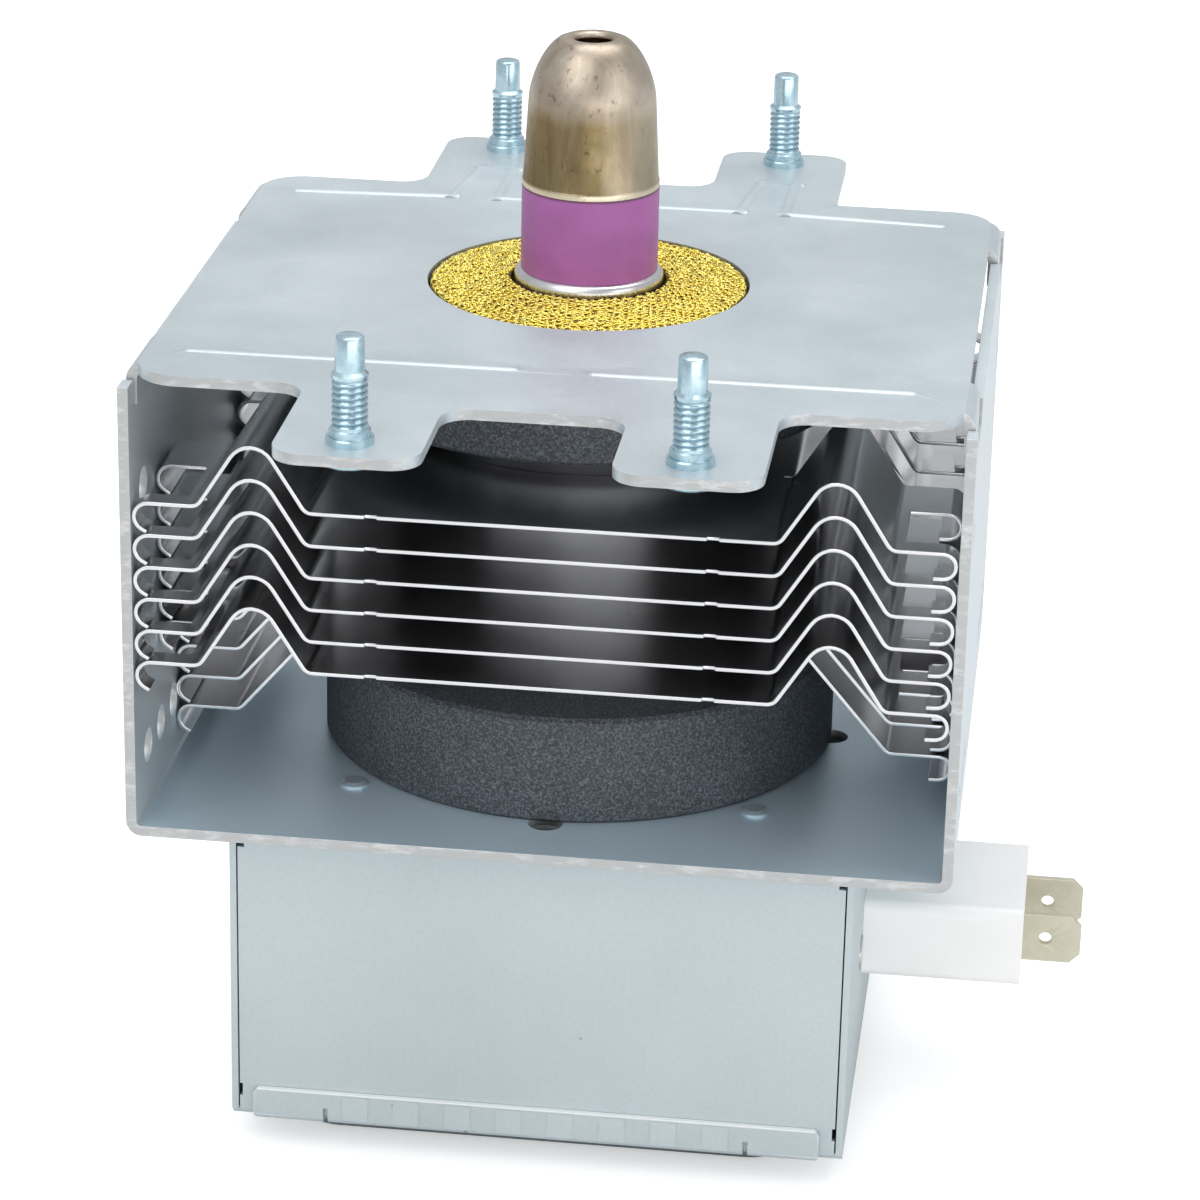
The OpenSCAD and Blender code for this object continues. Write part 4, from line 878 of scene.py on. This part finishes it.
# Floor, light and camera, in metres and degrees
FLOOR_SIZE = 6
FLOOR_Z = -0.0002
FLOOR_TONE = (0.86, 0.86, 0.86, 1)
FLOOR_ROUGH = 0.7
FLOOR_GLOW = 0.45
WORLD_TONE = (0.95, 0.97, 1.0, 1)
WORLD_LIGHT = 0.6
WHITE = (1, 1, 1, 1)
CAMERA_TURN = 6.63
CAMERA_LIFT = 21.74
CAMERA_ROLL = 1.3
CAMERA_AIM = (0.001933, 0, 0.05138)
CAMERA_DISTANCE = 0.4601
CAMERA_LENS = 129.13
CAMERA_SENSOR = 36
CAMERA_RANGE = (0.01, 20)


def make_floor():
    """Pale floor that keeps the object's shadow and looks white to the camera."""
    bpy.ops.mesh.primitive_plane_add(size=FLOOR_SIZE, location=(0, 0, FLOOR_Z))
    floor = bpy.context.object
    floor.name = "floor"
    material, tree, shader = new_material("floor_pale")
    shader.inputs["Base Color"].default_value = FLOOR_TONE
    shader.inputs["Roughness"].default_value = FLOOR_ROUGH
    paths = tree.nodes.new("ShaderNodeLightPath")
    glow = tree.nodes.new("ShaderNodeEmission")
    glow.inputs["Color"].default_value = WHITE
    glow.inputs["Strength"].default_value = FLOOR_GLOW
    dim = tree.nodes.new("ShaderNodeEmission")
    dim.inputs["Strength"].default_value = 0.0
    pick = tree.nodes.new("ShaderNodeMixShader")
    tree.links.new(paths.outputs["Is Camera Ray"], pick.inputs[0])
    tree.links.new(dim.outputs[0], pick.inputs[1])
    tree.links.new(glow.outputs[0], pick.inputs[2])
    add = tree.nodes.new("ShaderNodeAddShader")
    tree.links.new(shader.outputs[0], add.inputs[0])
    tree.links.new(pick.outputs[0], add.inputs[1])
    tree.links.new(add.outputs[0], tree.nodes["Material Output"].inputs["Surface"])
    floor.data.materials.append(material)


def make_world():
    """Soft light from all round, white where the camera sees it."""
    world = bpy.data.worlds.new("studio")
    bpy.context.scene.world = world
    world.use_nodes = True
    tree = world.node_tree
    back = tree.nodes["Background"]
    back.inputs["Color"].default_value = WORLD_TONE
    back.inputs["Strength"].default_value = WORLD_LIGHT
    white = tree.nodes.new("ShaderNodeBackground")
    white.inputs["Color"].default_value = WHITE
    white.inputs["Strength"].default_value = 1.0
    paths = tree.nodes.new("ShaderNodeLightPath")
    pick = tree.nodes.new("ShaderNodeMixShader")
    tree.links.new(paths.outputs["Is Camera Ray"], pick.inputs[0])
    tree.links.new(back.outputs[0], pick.inputs[1])
    tree.links.new(white.outputs[0], pick.inputs[2])
    tree.links.new(pick.outputs[0], tree.nodes["World Output"].inputs["Surface"])


def add_lamp(name, place, aim, size, power):
    """Soft box at a place, turned to its aim."""
    data = bpy.data.lights.new(name, "AREA")
    data.shape = "RECTANGLE"
    data.size, data.size_y = size
    data.energy = power
    lamp = bpy.data.objects.new(name, data)
    bpy.context.scene.collection.objects.link(lamp)
    lamp.location = place
    way = Vector(aim) - Vector(place)
    lamp.rotation_euler = way.to_track_quat("-Z", "Y").to_euler()


def make_camera():
    """Camera at the photo's angle, slightly rolled."""
    turn = math.radians(CAMERA_TURN)
    lift = math.radians(CAMERA_LIFT)
    roll = math.radians(CAMERA_ROLL)
    back = Vector((math.sin(turn) * math.cos(lift), -math.cos(turn) * math.cos(lift), math.sin(lift)))
    right = Vector((math.cos(turn), math.sin(turn), 0))
    up = back.cross(right)
    tilted_right = right * math.cos(roll) + up * math.sin(roll)
    tilted_up = up * math.cos(roll) - right * math.sin(roll)
    data = bpy.data.cameras.new("camera")
    data.sensor_width = CAMERA_SENSOR
    data.lens = CAMERA_LENS
    data.clip_start = CAMERA_RANGE[0]
    data.clip_end = CAMERA_RANGE[1]
    camera = bpy.data.objects.new("camera", data)
    bpy.context.scene.collection.objects.link(camera)
    place = Vector(CAMERA_AIM) + back * CAMERA_DISTANCE
    basis = Matrix((tilted_right, tilted_up, back)).transposed().to_4x4()
    camera.matrix_world = Matrix.Translation(place) @ basis
    bpy.context.scene.camera = camera


make_floor()
make_world()
add_lamp("key", place=(-0.45, -0.75, 0.95), aim=(0, 0, 0.06), size=(0.9, 0.9), power=4.8)
add_lamp("fill", place=(0.85, -0.45, 0.45), aim=(0, 0, 0.05), size=(0.6, 0.8), power=1.8)
add_lamp("top", place=(0.1, 0.25, 1.1), aim=(0, 0, 0.06), size=(0.9, 0.9), power=6.4)
add_lamp("front", place=(0.45, -1.0, 0.15), aim=(0, 0, 0.06), size=(1.3, 0.35), power=2.6)
make_camera()
bpy.context.scene.view_settings.view_transform = "Standard"
